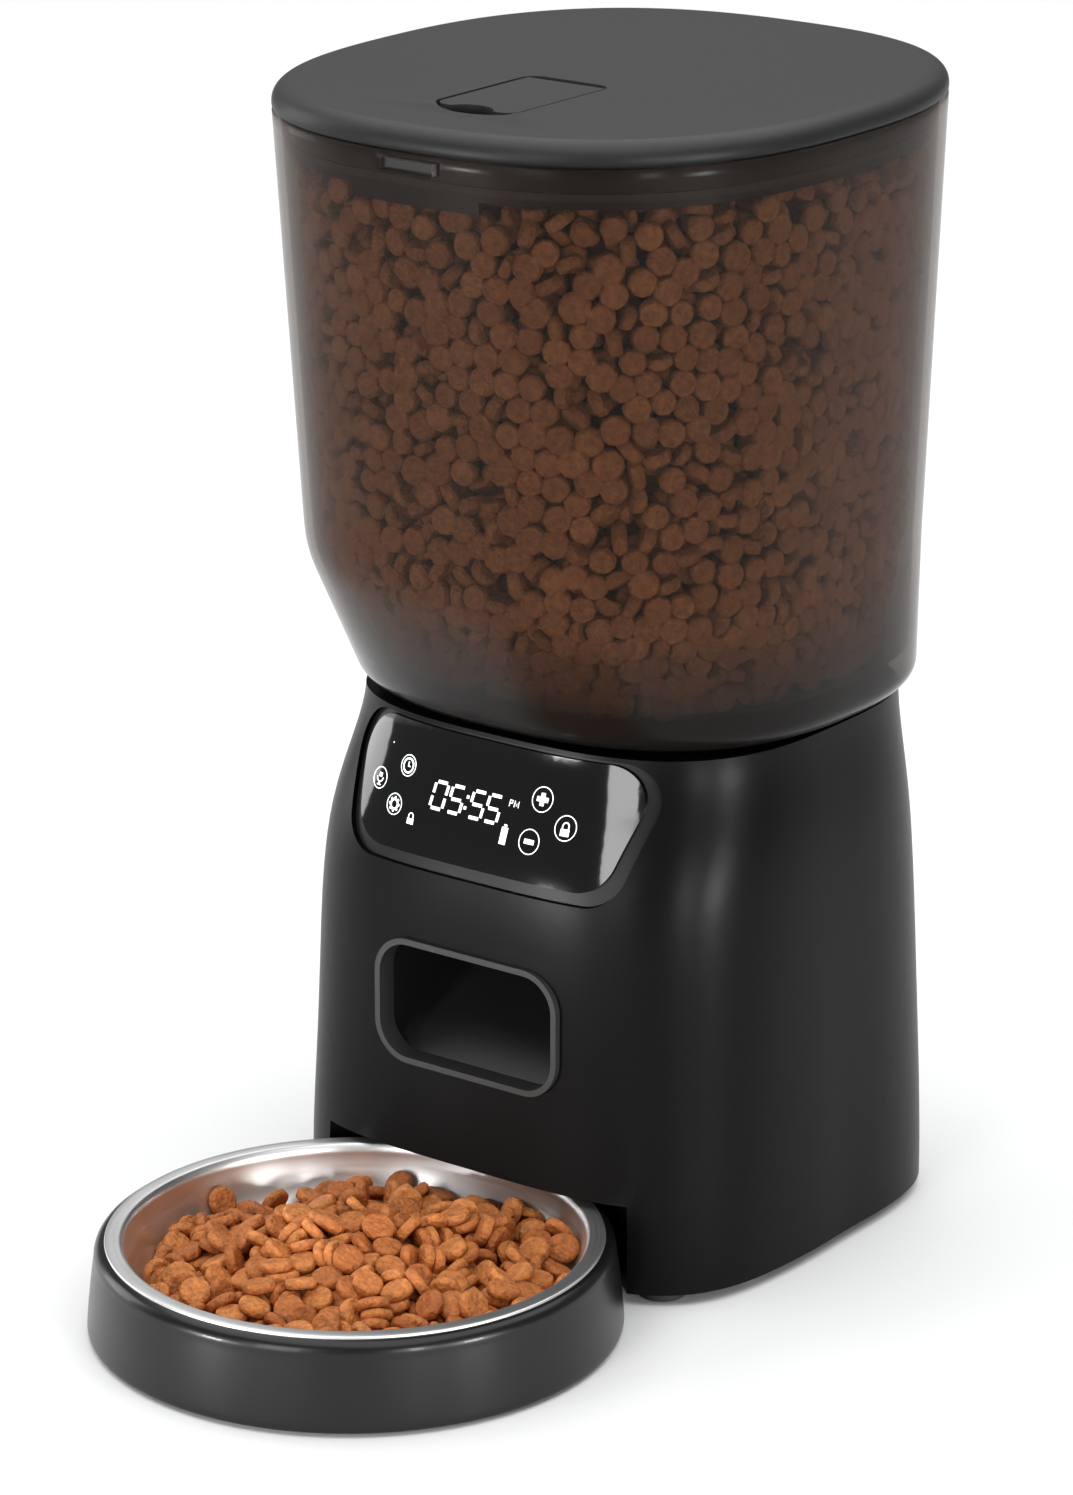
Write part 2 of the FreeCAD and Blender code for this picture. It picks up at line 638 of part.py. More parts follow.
panelFront = baseFront.value - 30
panelLow = value("bezel_drop")
panelBack = panelLow + 1.8
panelEnd = panelFront + 70
bezelShape = skin(panelLow, panelBack, displayPrism(value("bezel_margin") - 0.2, panelFront, panelEnd))
displayBezel = feature("display_bezel", bezelShape.cut(displayPrism(-4, panelFront, panelEnd)))
panelShape = skin(panelLow - value("panel_thickness"), panelLow - 0.1, displayPrism(0, panelFront, panelEnd))
displayPanel = feature("display_panel", panelShape)

boardLean = 15
boardTilt = math.radians(boardLean)
boardHeight = 32


def leaning(obj, x, y, z):
    """Place a piece on the leaning plane behind the display."""
    obj.Placement = FreeCAD.Placement(vector(x, y, z), FreeCAD.Rotation(vector(1, 0, 0), -boardLean))
    place(obj, asDim(x), asDim(y), asDim(z))
    return obj


boardY = baseFront + 15.6
boardZ = size("panel_bottom") + 3
board = doc.addObject("Part::Box", "display_board")
bind(board, "Length", asDim(88))
bind(board, "Width", asDim(1.6))
bind(board, "Height", asDim(boardHeight))
displayBoard = leaning(board, -44, boardY, boardZ)
digits = []
digitUp, digitOut = 8, 6.4
for number, x in enumerate((-27, -13, 3, 17)):
    digit = doc.addObject("Part::Box", "digit_%d" % number)
    for prop, amount in (("Length", 12), ("Width", digitOut), ("Height", 18)):
        bind(digit, prop, asDim(amount))
    digits.append(leaning(digit, x, boardY - digitOut * math.cos(boardTilt) + digitUp * math.sin(boardTilt),
                          boardZ + digitUp * math.cos(boardTilt) + digitOut * math.sin(boardTilt)))
ledDigits = group("led_digits", digits)
micX, micUp = -38, 24
mic = rod("microphone", 3, 3, micX, boardY, boardZ + micUp, "y")
mic.Placement = FreeCAD.Placement(mic.Placement.Base, FreeCAD.Rotation(vector(1, 0, 0), 90 - boardLean))
place(mic, asDim(micX), boardY + micUp * math.sin(boardTilt), boardZ + micUp * math.cos(boardTilt))

# ---------------------------------------------------------------- dispenser

wellIn = size("well_radius")
wellOut = wellIn + size("well_wall")
flangeLow = deckUnder - 2
wellCup = turnedBody("well_cup", [
    (size("shaft_radius") + size("running_gap"), wellFloor - size("well_wall")),
    (wellOut, wellFloor - size("well_wall")), (wellOut, flangeLow),
    (wellOut + size("well_flange"), flangeLow), (wellOut + size("well_flange"), deckUnder),
    (wellIn, deckUnder), (wellIn, wellFloor), (size("shaft_radius") + size("running_gap"), wellFloor)], wellY)
outletHalf = size("outlet_width") / 2
outlet = box("well_outlet", -outletHalf, outletHalf, wellY - size("outlet_far"), wellY - size("outlet_near"),
             wellFloor - 10, wellFloor + 5)
dispenserWell = cut("dispenser_well", wellCup, outlet)

rotorLow = wellFloor + 0.8
rotorTop = rotorLow + size("rotor_height")
vaneTip = wellIn - 4
vaneCount = 6
bladeOverlap = 3


def spoke(name, number, count, near, far, thickness, low, high):
    """Flat radial blade about the rotor's axis."""
    blade = doc.addObject("Part::Box", "%s_%d" % (name, number))
    bind(blade, "Length", far - near)
    bind(blade, "Width", thickness)
    bind(blade, "Height", high - low)
    angle = 360 * number / count + 30
    turn = math.radians(angle)
    blade.Placement = FreeCAD.Placement(vector(0, 0, 0), FreeCAD.Rotation(vector(0, 0, 1), angle))
    place(blade, near * math.cos(turn) + thickness * (math.sin(turn) / 2),
          wellY + near * math.sin(turn) - thickness * (math.cos(turn) / 2), low)
    return blade


def makeRotor():
    hub = rod("rotor_hub", size("hub_radius"), size("rotor_height"), 0, wellY, rotorLow)
    vanes = [spoke("vane", n, vaneCount, size("hub_radius") - 1, vaneTip, size("vane_thickness"),
                   rotorLow, rotorTop) for n in range(vaneCount)]
    whole = fuse("rotor_solid", hub, *vanes)
    bore = rod("rotor_bore", size("shaft_radius"), size("rotor_height") - 6, 0, wellY, rotorLow - 0.01)
    slots = [spoke("wiper_slot", n, vaneCount, vaneTip - bladeOverlap, vaneTip + 1,
                   size("vane_thickness") / 2, rotorLow - 1, rotorTop + 1) for n in range(vaneCount)]
    return cut("portion_rotor", whole, bore, *slots)


portionRotor = makeRotor()
rotorWipers = group("rotor_wipers", [
    spoke("wiper", n, vaneCount, vaneTip - bladeOverlap, wellIn - size("wiper_gap") - 0.1,
          size("vane_thickness") / 2, rotorLow, rotorTop) for n in range(vaneCount)])

gearTop = wellFloor - 9
gearLow = gearTop - size("gear_width")
shaftLow = gearLow - 3
rotorShaft = rod("rotor_shaft", size("shaft_radius"), rotorTop - 6 - shaftLow, 0, wellY, shaftLow)

guardDisc = rod("guard_disc", wellIn - 0.1, 1.4, 0, wellY, rotorTop + 1.2)
guardCut = box("guard_cut", -70, 70, wellY - 17, wellY + 80, rotorTop, rotorTop + 5)
outletGuard = cut("outlet_guard", guardDisc, guardCut)

# Chute: a duct from the outlet in the well's floor down to the mouth in the front wall
chuteTop = wellFloor - size("well_wall")
chuteHalf = size("chute_width") / 2
frameBack = baseFront + 7


def ductSolid(grow):
    near, far = value("outlet_near") - grow, value("outlet_far") + grow
    half, mouthHalf = outletHalf.value + grow, chuteHalf.value + grow
    top = [vector(-half, wellY - far, chuteTop), vector(half, wellY - far, chuteTop),
           vector(half, wellY - near, chuteTop), vector(-half, wellY - near, chuteTop)]
    high, low = value("chute_high") + grow, value("chute_low") - grow
    mouth = [vector(-mouthHalf, frameBack, high), vector(mouthHalf, frameBack, high),
             vector(mouthHalf, frameBack, low), vector(-mouthHalf, frameBack, low)]
    wires = [Part.makePolygon(corners + corners[:1]) for corners in (top, mouth)]
    return Part.makeLoft(wires, True, True)


ductOuter = ductSolid(value("chute_wall"))
chute = feature("chute", ductOuter.cut(ductSolid(0)))


def makeFrame():
    lip = value("frame_lip")
    low, high = size("chute_low"), size("chute_high")
    front = baseFront.value - 0.5
    back = frameBack.value
    outer = roundedPrism(chuteHalf + lip - 0.1, chuteHalf + lip - 0.1, low - lip + 0.1, high + lip - 0.1,
                         size("chute_round") + lip, front, back)
    inner = roundedPrism(chuteHalf, chuteHalf, low, high, size("chute_round"), front - 5, back + 5)
    return feature("chute_frame", outer.cut(inner))


chuteFrame = makeFrame()
ductCutter = feature("duct_cutter", ductOuter)
sensors = []
for side, x0 in (("left", -chuteHalf - 9), ("right", chuteHalf - 2)):
    block = box("sensor_block_" + side, x0, x0 + 11, baseFront + 14, baseFront + 24,
                size("chute_low") + 14, size("chute_low") + 24)
    sensors.append(cut("sensor_" + side, block, ductCutter))
foodSensor = group("food_sensor", sensors)

# ---------------------------------------------------------------- drive

gearTeeth, pinionTeeth = 54, 18
motorShaftRadius = 1.0
gearRadius = size("tooth_module") * gearTeeth / 2
pinionRadius = size("tooth_module") * pinionTeeth / 2
motorY = wellY + gearRadius + pinionRadius


def gearShape(teeth, module, width, bore, backlash, phase):
    """Spur gear with involute flanks of 20 degrees, thinned by the backlash."""
    pitch = module * teeth / 2
    baseCircle = pitch * math.cos(math.radians(20))
    tip, root = pitch + module, pitch - 1.25 * module
    involute = math.tan(math.radians(20)) - math.radians(20)
    halfTooth = math.pi / 2 / teeth - backlash / 2 / pitch
    points = []
    for tooth in range(teeth):
        middle = 2 * math.pi * tooth / teeth + phase
        flank = []
        for step in range(5):
            radius = max(baseCircle, root) + (tip - max(baseCircle, root)) * step / 4
            slope = math.acos(min(1, baseCircle / radius))
            flank.append((radius, halfTooth + involute - (math.tan(slope) - slope)))
        flank.insert(0, (root, flank[0][1]))
        points += [(radius, middle - angle) for radius, angle in flank]
        points += [(radius, middle + angle) for radius, angle in reversed(flank)]
    corners = [FreeCAD.Vector(r * math.cos(a), r * math.sin(a), 0) for r, a in points]
    disc = Part.Face(Part.makePolygon(corners + corners[:1])).extrude(FreeCAD.Vector(0, 0, width))
    return disc.cut(Part.makeCylinder(bore, 3 * width, FreeCAD.Vector(0, 0, -width)))


def gear(name, teeth, bore, y, low, phase):
    obj = feature(name, gearShape(teeth, value("tooth_module"), value("gear_width"), bore, 0.16, phase))
    obj.Placement = FreeCAD.Placement(vector(0, y, low), FreeCAD.Rotation())
    return obj


# At rest a tooth of the gear points at a gap of the pinion
driveGear = gear("drive_gear", gearTeeth, value("shaft_radius"), wellY, gearLow, math.pi / 2)
motorPinion = gear("motor_pinion", pinionTeeth, motorShaftRadius, motorY, gearLow,
                   -math.pi / 2 + math.pi / pinionTeeth)
caseRadius = gearRadius + 4
caseLow = gearLow - 5
caseTop = gearTop + 2
caseHalf = 17


def makeGearCase():
    def outline(name, grow, low, high):
        disc = rod(name + "_disc", caseRadius + grow, high - low, 0, wellY, low)
        arm = box(name + "_arm", -caseHalf - grow, caseHalf + grow, wellY, motorY + 13 + grow, low, high)
        return fuse(name, disc, arm)
    outer = outline("case_outer", 0, caseLow, caseTop)
    inner = outline("case_inner", -1.8, caseLow + 1.8, caseTop + 1)
    shaftHole = rod("case_shaft_hole", size("shaft_radius") + size("running_gap"), 20, 0, wellY, caseLow - 5)
    pinionHole = rod("case_pinion_hole", 4, 20, 0, motorY, caseLow - 5)
    case = cut("gear_case", outer, inner, shaftHole, pinionHole)
    cover = outline("cover_outer", 0, caseTop, caseTop + 1.8)
    coverHole = rod("cover_hole", size("shaft_radius") + size("running_gap"), 20, 0, wellY, caseTop - 5)
    return case, cut("gear_case_cover", cover, coverHole)


gearCase, gearCover = makeGearCase()
posts = [rod("cover_post_%d" % n, 3, wellFloor - size("well_wall") - caseTop - 1.8, x, y, caseTop + 1.8)
         for n, (x, y) in enumerate([(-14, motorY + 6), (14, motorY + 6)])]
gearMounts = group("gear_mounts", posts)
motorCan = rod("motor_can", size("motor_radius"), size("motor_height"), 0, motorY,
               caseLow - size("motor_height"))
motorBore = rod("motor_bore", motorShaftRadius + size("running_gap"), 12, 0, motorY, caseLow - 10)
motorBody = cut("motor_body", motorCan, motorBore)
motorShaft = rod("motor_shaft", motorShaftRadius, gearTop - caseLow + 8, 0, motorY, caseLow - 8)

# ---------------------------------------------------------------- batteries and electronics

cellLow = plateTop + 2.2
boxTop = cellLow + size("cell_radius") * 2 + 0.4
boxWall = size("box_wall")
boxHalf = doorHalf + boxWall
boxBlock = box("battery_block", -boxHalf, boxHalf, doorFront - boxWall, doorFront + doorDepth + boxWall,
               plateTop, boxTop + boxWall)
boxHollow = box("battery_hollow", -doorHalf, doorHalf, doorFront, doorFront + doorDepth, plateTop - 1, boxTop)
batteryBox = cut("battery_box", boxBlock, boxHollow)
cells = []
for number in range(3):
    x = (number - 1) * cellPitch
    can = rod("cell_can_%d" % number, size("cell_radius"), size("cell_length") - 1.5, x, doorFront + 1.2,
              cellLow + size("cell_radius"), "y")
    nub = rod("cell_nub_%d" % number, 4.5, 1.5, x, doorFront + 1.2 + size("cell_length") - 1.5,
              cellLow + size("cell_radius"), "y")
    cells.append(fuse("cell_%d" % number, can, nub))
batteryCells = group("battery_cells", cells)
contacts = []
for number in range(3):
    x = (number - 1) * cellPitch
    z = cellLow + size("cell_radius")
    contacts.append(box("contact_front_%d" % number, x - 6, x + 6, doorFront, doorFront + 1.2, z - 6, z + 6))
    contacts.append(box("contact_rear_%d" % number, x - 6, x + 6, doorFront + 1.2 + size("cell_length"),
                        doorFront + doorDepth, z - 6, z + 6))
batteryContacts = group("battery_contacts", contacts)
barrelRadius = (plateTop - 0.2 - baseLow) / 2
doorAxisY = doorFront + doorDepth - 0.4 - barrelRadius
doorPlate = box("door_plate", -doorHalf, doorHalf, doorFront, doorAxisY, baseLow, plateTop - 0.2)
doorBarrel = rod("door_barrel", barrelRadius, 2 * doorHalf, -doorHalf, doorAxisY, baseLow + barrelRadius, "x")
doorLeaf = fuse("door_leaf", doorPlate, doorBarrel)
grips = [box("door_grip_%d" % n, -14, 14, doorFront + 7 + 4 * n, doorFront + 8.6 + 4 * n,
             baseLow - 1, baseLow + 0.8) for n in range(4)]
batteryDoor = cut("battery_door", doorLeaf, *grips)

boardLow = boxTop + boxWall + 3
mainBoard = box("main_board", -50, -18, doorFront + 2, doorFront + 60, boardLow, boardLow + 1.6)
standoffs = [rod("standoff_%d" % n, 2.5, 3, x, y, boxTop + boxWall)
             for n, (x, y) in enumerate([(-46, doorFront + 6), (-22, doorFront + 6), (-46, doorFront + 56),
                                         (-22, doorFront + 56)])]
boardStandoffs = group("board_standoffs", standoffs)

caseCutter = feature("case_cutter", baseSolid(caseInner + 0.1, 0, overAll))
speakerBlock = rod("speaker_gasket", 19, 14, speakerX, baseRear - 15, speakerZ, "y")
speakerHole = rod("speaker_gasket_hole", 16, 30, speakerX, baseRear - 20, speakerZ, "y")
gasket = common("speaker_seat", cut("speaker_ring", speakerBlock, speakerHole), caseCutter)
speaker = rod("speaker", 19, 6, speakerX, baseRear - 21, speakerZ, "y")

inletBody = box("inlet_body", inletX - 6, inletX + 6, baseRear - 17, baseRear - 5.2, inletZ - 6, inletZ + 6)
inletNose = rod("inlet_nose", inletRadius, 16, inletX, baseRear - 16, inletZ, "y")
inletBore = rod("inlet_bore", 2.8, 9, inletX, baseRear - 8, inletZ, "y")
dcInlet = cut("dc_inlet", fuse("inlet_solid", inletBody, inletNose), inletBore)

# ---------------------------------------------------------------- bowl and its tray

trayR = size("tray_radius")
trayTop = size("tray_height")
padTop = size("pad_height")
flangeR = trayR - size("flange_inset")
mouthR = flangeR - size("flange_width")
sheetT = size("bowl_sheet")
wallT = size("tray_wall")
bowlLow = trayTop + sheetT - size("bowl_depth")
bowlTray = turnedBody("tray_ring", [
    (trayR - 1, padTop), (trayR, padTop + 1.5), (trayR - 0.6, padTop + 8), (trayR - 2.4, trayTop - 7),
    (trayR - 3.6, trayTop - 3), (trayR - 5, trayTop - 1), (flangeR - 1, trayTop), (mouthR + 1.2, trayTop),
    (mouthR + 0.6, trayTop - 4), (mouthR + 3, trayTop - 4.6), (trayR - 6.5, trayTop - 6),
    (trayR - 3.4, padTop + wallT + 1), (20, padTop + wallT), (20, padTop)], trayY)
trayTongue = box("tray_tongue", -11.5, 11.5, trayY + trayR - 6, trayY + recessRadius + 2, 12.8, 16.2)
bowlTrayWhole = fuse("bowl_tray", bowlTray, trayTongue)
bowlFoot = mouthR - 17
steelBowl = turnedBody("steel_bowl", [
    (0, bowlLow), (bowlFoot, bowlLow), (mouthR - 9, bowlLow + 3), (mouthR - 4, bowlLow + 9),
    (mouthR - 1, bowlLow + 19), (mouthR, trayTop), (flangeR, trayTop), (flangeR, trayTop + sheetT),
    (mouthR - sheetT * 0.5, trayTop + sheetT), (mouthR - 1.2 - sheetT, bowlLow + 19),
    (mouthR - 4 - sheetT, bowlLow + 9.4), (mouthR - 9.2, bowlLow + 3.9), (bowlFoot, bowlLow + sheetT),
    (0, bowlLow + sheetT)], trayY)
pads = []
for number in range(3):
    angle = math.radians(90 + 120 * number)
    pads.append(rod("tray_pad_%d" % number, 6, padTop, (trayR - 16) * math.cos(angle),
                    trayY + (trayR - 16) * math.sin(angle), 0))
trayFeet = group("tray_feet", pads)

# ---------------------------------------------------------------- check and write
nodes = {
    "base_shell": baseShell, "bottom_plate": bottomPlate, "rubber_feet": rubberFeet,
    "case_screws": caseScrews, "battery_box": batteryBox, "battery_cells": batteryCells,
    "battery_contacts": batteryContacts, "battery_door": batteryDoor, "dc_inlet": dcInlet,
    "display_bezel": displayBezel, "display_panel": displayPanel, "display_board": displayBoard,
    "led_digits": ledDigits, "main_board": mainBoard, "board_standoffs": boardStandoffs,
    "speaker": speaker, "speaker_seat": gasket, "microphone": mic, "dispenser_well": dispenserWell,
    "outlet_guard": outletGuard, "chute": chute, "chute_frame": chuteFrame, "food_sensor": foodSensor,
    "gear_case": gearCase, "gear_case_cover": gearCover, "gear_mounts": gearMounts,
    "motor_body": motorBody, "motor_shaft": motorShaft, "motor_pinion": motorPinion,
    "drive_gear": driveGear, "rotor_shaft": rotorShaft, "portion_rotor": portionRotor,
    "rotor_wipers": rotorWipers, "hopper": hopper, "hinge_pin": hingePin, "lid_shell": lidShell,
    "lid_sleeve": lidSleeve, "lid_seal": lidSeal, "latch_housing": latchHousing,
    "latch_lever": latchLever, "latch_pin": latchPin, "latch_bolt": latchBolt,
    "latch_spring": latchSpring, "desiccant_box": desiccantBox, "desiccant_cover": desiccantCover,
    "bowl_tray": bowlTrayWhole, "steel_bowl": steelBowl, "tray_feet": trayFeet,
}
doc.recompute()
faults = []
for obj in doc.Objects:
    if "Invalid" in obj.State or "Error" in obj.State:
        faults.append("%s: %s" % (obj.Name, obj.State))
for node, obj in nodes.items():
    if obj.Shape.isNull() or not obj.Shape.isValid() or not obj.Shape.Solids:
        faults.append("%s: no valid shape" % node)
if faults:
    raise RuntimeError("; ".join(faults))
for node, obj in nodes.items():
    obj.Label = node
    obj.Shape.exportStep("parts/%s.step" % node)
print("%d sub-parts written" % len(nodes))
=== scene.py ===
import math
import bpy
import numpy as np
from mathutils.bvhtree import BVHTree
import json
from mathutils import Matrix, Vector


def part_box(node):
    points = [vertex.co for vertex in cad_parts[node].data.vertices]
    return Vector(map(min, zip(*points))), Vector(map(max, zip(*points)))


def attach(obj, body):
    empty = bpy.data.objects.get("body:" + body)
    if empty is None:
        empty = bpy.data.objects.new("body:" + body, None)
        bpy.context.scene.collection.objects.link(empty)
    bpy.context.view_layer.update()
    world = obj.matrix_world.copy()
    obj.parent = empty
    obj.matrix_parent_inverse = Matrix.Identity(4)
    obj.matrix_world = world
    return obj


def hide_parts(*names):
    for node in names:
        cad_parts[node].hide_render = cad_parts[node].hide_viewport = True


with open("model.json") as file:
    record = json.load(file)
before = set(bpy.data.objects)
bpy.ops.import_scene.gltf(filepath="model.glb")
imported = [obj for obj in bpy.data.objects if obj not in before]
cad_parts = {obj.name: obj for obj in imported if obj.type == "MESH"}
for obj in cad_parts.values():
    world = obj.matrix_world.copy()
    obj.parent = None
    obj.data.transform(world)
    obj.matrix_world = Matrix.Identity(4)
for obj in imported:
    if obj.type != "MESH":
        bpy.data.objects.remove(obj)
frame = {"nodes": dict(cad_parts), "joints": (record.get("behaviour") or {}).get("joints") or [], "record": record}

scene = bpy.context.scene
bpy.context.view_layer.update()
nodes = frame["nodes"]
joints = {joint["name"]: joint for joint in frame["joints"]}
hingeAt = joints["lid_hinge"]["pos_m"]
rotorAt = joints["rotor_turn"]["pos_m"]
mm = 0.001
dice = np.random.default_rng(7)
print("frame loaded")

# camera and light

cameraLook = {"x": 1.039, "y": -1.36615, "z": 0.7477, "yaw": 36.98, "pitch": 18.41, "lens": 132.0}


def addCamera(look):
    data = bpy.data.cameras.new("camera")
    data.sensor_fit = "VERTICAL"
    data.sensor_height = 36
    data.lens = look["lens"]
    data.clip_end = 60
    camera = bpy.data.objects.new("camera", data)
    camera.location = (look["x"], look["y"], look["z"])
    camera.rotation_euler = (math.radians(90 - look["pitch"]), 0, math.radians(look["yaw"]))
    scene.collection.objects.link(camera)
    scene.camera = camera


def addSoftbox(name, place, aim, wide, high, power):
    data = bpy.data.lights.new(name, "AREA")
    data.shape = "RECTANGLE"
    data.size = wide
    data.size_y = high
    data.energy = power
    lamp = bpy.data.objects.new(name, data)
    lamp.location = place
    away = np.array(place) - np.array(aim)
    tilt = math.acos(away[2] / np.linalg.norm(away))
    lamp.rotation_euler = (tilt, 0, math.atan2(away[1], away[0]) + math.pi / 2)
    scene.collection.objects.link(lamp)


addCamera(cameraLook)
addSoftbox("softboxTop", (0.0, 0.8, 3.4), (0, 0.8, 0), 6.5, 6.5, 280)
addSoftbox("softboxLeft", (-2.47, -0.39, 0.7), (0, 0, 0.2), 1.1, 1.4, 20)
addSoftbox("softboxFront", (0.27, -2.6, 0.75), (0, 0, 0.2), 0.85, 1.3, 26)
addSoftbox("stripFront", (-0.75, -1.9, 0.1), (0, -0.1, 0.1), 0.3, 0.15, 24)
addSoftbox("stripSide", (2.1, -0.15, 0.2), (0, -0.1, 0.1), 0.3, 0.3, 22)
addSoftbox("stripCorner", (1.85, -1.0, 0.35), (0, -0.1, 0.1), 0.2, 0.6, 12)

world = bpy.data.worlds.new("studio")
scene.world = world
world.use_nodes = True
world.node_tree.nodes["Background"].inputs["Color"].default_value = (0.97, 0.98, 1, 1)
world.node_tree.nodes["Background"].inputs["Strength"].default_value = 0.22
scene.view_settings.view_transform = "Standard"

# shader maths


class Wire:
    # a socket that can be used in expressions

    def __init__(self, net, socket):
        self.net = net
        self.socket = socket

    def do(self, operation, *others):
        return self.net.add("ShaderNodeMath", {"operation": operation}, self, *others)

    def __add__(self, other):
        return self.do("ADD", other)

    def __sub__(self, other):
        return self.do("SUBTRACT", other)

    def __mul__(self, other):
        return self.do("MULTIPLY", other)

    def __radd__(self, other):
        return self + other

    def __rmul__(self, other):
        return self * other

    def __rsub__(self, other):
        return self.net.add("ShaderNodeMath", {"operation": "SUBTRACT"}, other, self)

    def clamp(self):
        return self.net.add("ShaderNodeClamp", {}, self)


class Net:
    # one material's nodes

    def __init__(self, name):
        self.material = bpy.data.materials.new(name)
        self.material.use_nodes = True
        self.tree = self.material.node_tree
        self.shader = self.tree.nodes["Principled BSDF"]
        self.out = self.tree.nodes["Material Output"]

    def add(self, kind, settings, *values, out=0, **named):
        node = self.tree.nodes.new(kind)
        for key, setting in settings.items():
            setattr(node, key, setting)
        for key, value in list(enumerate(values)) + list(named.items()):
            self.feed(node.inputs[key], value)
        return Wire(self, node.outputs[out])

    def feed(self, socket, value):
        if isinstance(value, Wire):
            self.tree.links.new(value.socket, socket)
        elif hasattr(socket.default_value, "__len__") and not hasattr(value, "__len__"):
            socket.default_value = [value] * len(socket.default_value)
        elif hasattr(value, "__len__") and len(value) == 3 and len(socket.default_value) == 4:
            socket.default_value = tuple(value) + (1,)
        else:
            socket.default_value = value

    def set(self, **values):
        for key, value in values.items():
            self.feed(self.shader.inputs[inputNames[key]], value)

    def coords(self):
        return self.add("ShaderNodeTexCoord", {}, out="Object")

    def noise(self, scale, detail=3, roughness=0.5, where=None):
        return self.add("ShaderNodeTexNoise", {}, Vector=where or self.coords(), Scale=scale, Detail=detail,
                        Roughness=roughness)

    def blend(self, amount, first, second):
        node = self.tree.nodes.new("ShaderNodeMix")
        node.data_type = "RGBA"
        self.feed(node.inputs["Factor"], amount)
        self.feed(node.inputs[6], first)
        self.feed(node.inputs[7], second)
        return Wire(self, node.outputs[2])

    def bump(self, height, distance, strength=1.0):
        return self.add("ShaderNodeBump", {}, Height=height, Distance=distance, Strength=strength)


inputNames = {"color": "Base Color", "roughness": "Roughness", "metallic": "Metallic",
              "specular": "Specular IOR Level", "coat": "Coat Weight", "coatRoughness": "Coat Roughness",
              "glow": "Emission Color", "glowStrength": "Emission Strength", "normal": "Normal"}


def mouldedPlastic(name, color, roughness, shine=0.5, grain=0.00002, scale=2600, spread=0.05):
    # moulded skin: fine spark texture, with slow drifts of gloss and tone
    net = Net(name)
    where = net.coords()
    drift = net.noise(14, 4, 0.55, where)
    texture = net.noise(scale, 2, 0.6, where)
    tone = net.blend(drift, [c * 0.88 for c in color], [c * 1.12 for c in color])
    net.set(color=tone, roughness=roughness + (drift - 0.5) * spread + (texture - 0.5) * 0.06, specular=shine,
            normal=net.bump(texture, grain))
    return net.material


def lidPlasticPaintedShade(name, color, low):
    # matt moulding with painted shade: its colour falls to a dark tone down the side, towards the seam
    net = Net(name)
    where = net.coords()
    height = net.add("ShaderNodeSeparateXYZ", {}, Vector=where, out="Z")
    # painted shade: over about 7 mm up from the seam the colour rises from the dark low colour to the lid's tone
    rise = ((height - (hingeAt[2] + 2 * mm)) * 140).clamp()
    drift = net.noise(14, 4, 0.55, where)
    texture = net.noise(2600, 2, 0.6, where)
    tone = net.blend(drift, [c * 0.92 for c in color], [c * 1.08 for c in color])
    net.set(color=net.blend(rise * rise, low, tone), specular=0.15, normal=net.bump(texture, 0.00002),
            roughness=0.42 + (drift - 0.5) * 0.05 + (texture - 0.5) * 0.06)
    return net.material


def metalSkin(name, color, roughness, scale=900, stretch=(1, 1, 14)):
    # drawn or brushed metal: noise stretched along the lines of the tool
    net = Net(name)
    where = net.add("ShaderNodeMapping", {}, net.coords(), Scale=stretch)
    lines = net.noise(scale, 3, 0.6, where)
    tone = net.blend(lines, [c * 0.85 for c in color], color)
    net.set(color=tone, metallic=1.0, roughness=roughness + (lines - 0.5) * 0.12,
            normal=net.bump(lines, 0.00001))
    return net.material


def softRubber(name, color, roughness=0.75):
    net = Net(name)
    fine = net.noise(1800, 4, 0.7)
    net.set(color=net.blend(fine, [c * 0.8 for c in color], [c * 1.2 for c in color]),
            roughness=roughness + (fine - 0.5) * 0.1, normal=net.bump(fine, 0.00004))
    return net.material


def circuitBoard(name):
    # solder mask over copper tracks: narrow bands from two crossed waves, broken up by noise
    net = Net(name)
    where = net.coords()
    across = net.add("ShaderNodeTexWave", {"wave_type": "BANDS"}, Vector=where, Scale=140, Distortion=3,
                     out="Fac")
    track = ((across - 0.78) * 12).clamp()
    drift = net.noise(220, 2, 0.5, where)
    net.set(color=net.blend(track * drift, (0.008, 0.05, 0.02), (0.03, 0.16, 0.06)), roughness=0.32,
            normal=net.bump(track, 0.00003))
    return net.material


def steelBowlSkin(name):
    # spun stainless: fine rings about the bowl's own axis with a satin spread
    net = Net(name)
    where = net.add("ShaderNodeMapping", {}, net.coords(), Location=(0, -bowlForm["y"], 0), Scale=(1, 1, 0))
    radius = net.add("ShaderNodeVectorMath", {"operation": "LENGTH"}, where, out="Value")
    rings = net.add("ShaderNodeTexNoise", {"noise_dimensions": "1D"}, W=radius, Scale=2400, Detail=3)
    cloud = net.noise(30, 4, 0.6)
    net.set(color=net.blend(cloud, (0.66, 0.655, 0.65), (0.76, 0.755, 0.75)), metallic=1.0,
            roughness=0.38 + (rings - 0.5) * 0.2 + (cloud - 0.5) * 0.06, normal=net.bump(rings, 0.000006))
    return net.material


def glossBlack(name, color, roughness, coat=0.6, shine=0.5):
    # polished moulding with faint handling haze
    net = Net(name)
    haze = net.noise(35, 5, 0.6)
    net.set(color=net.blend(haze, [c * 0.9 for c in color], [c * 1.1 for c in color]),
            roughness=roughness + (haze - 0.5) * 0.05, coat=coat, coatRoughness=0.04, specular=shine,
            normal=net.bump(net.noise(60, 2), 0.00002))
    return net.material


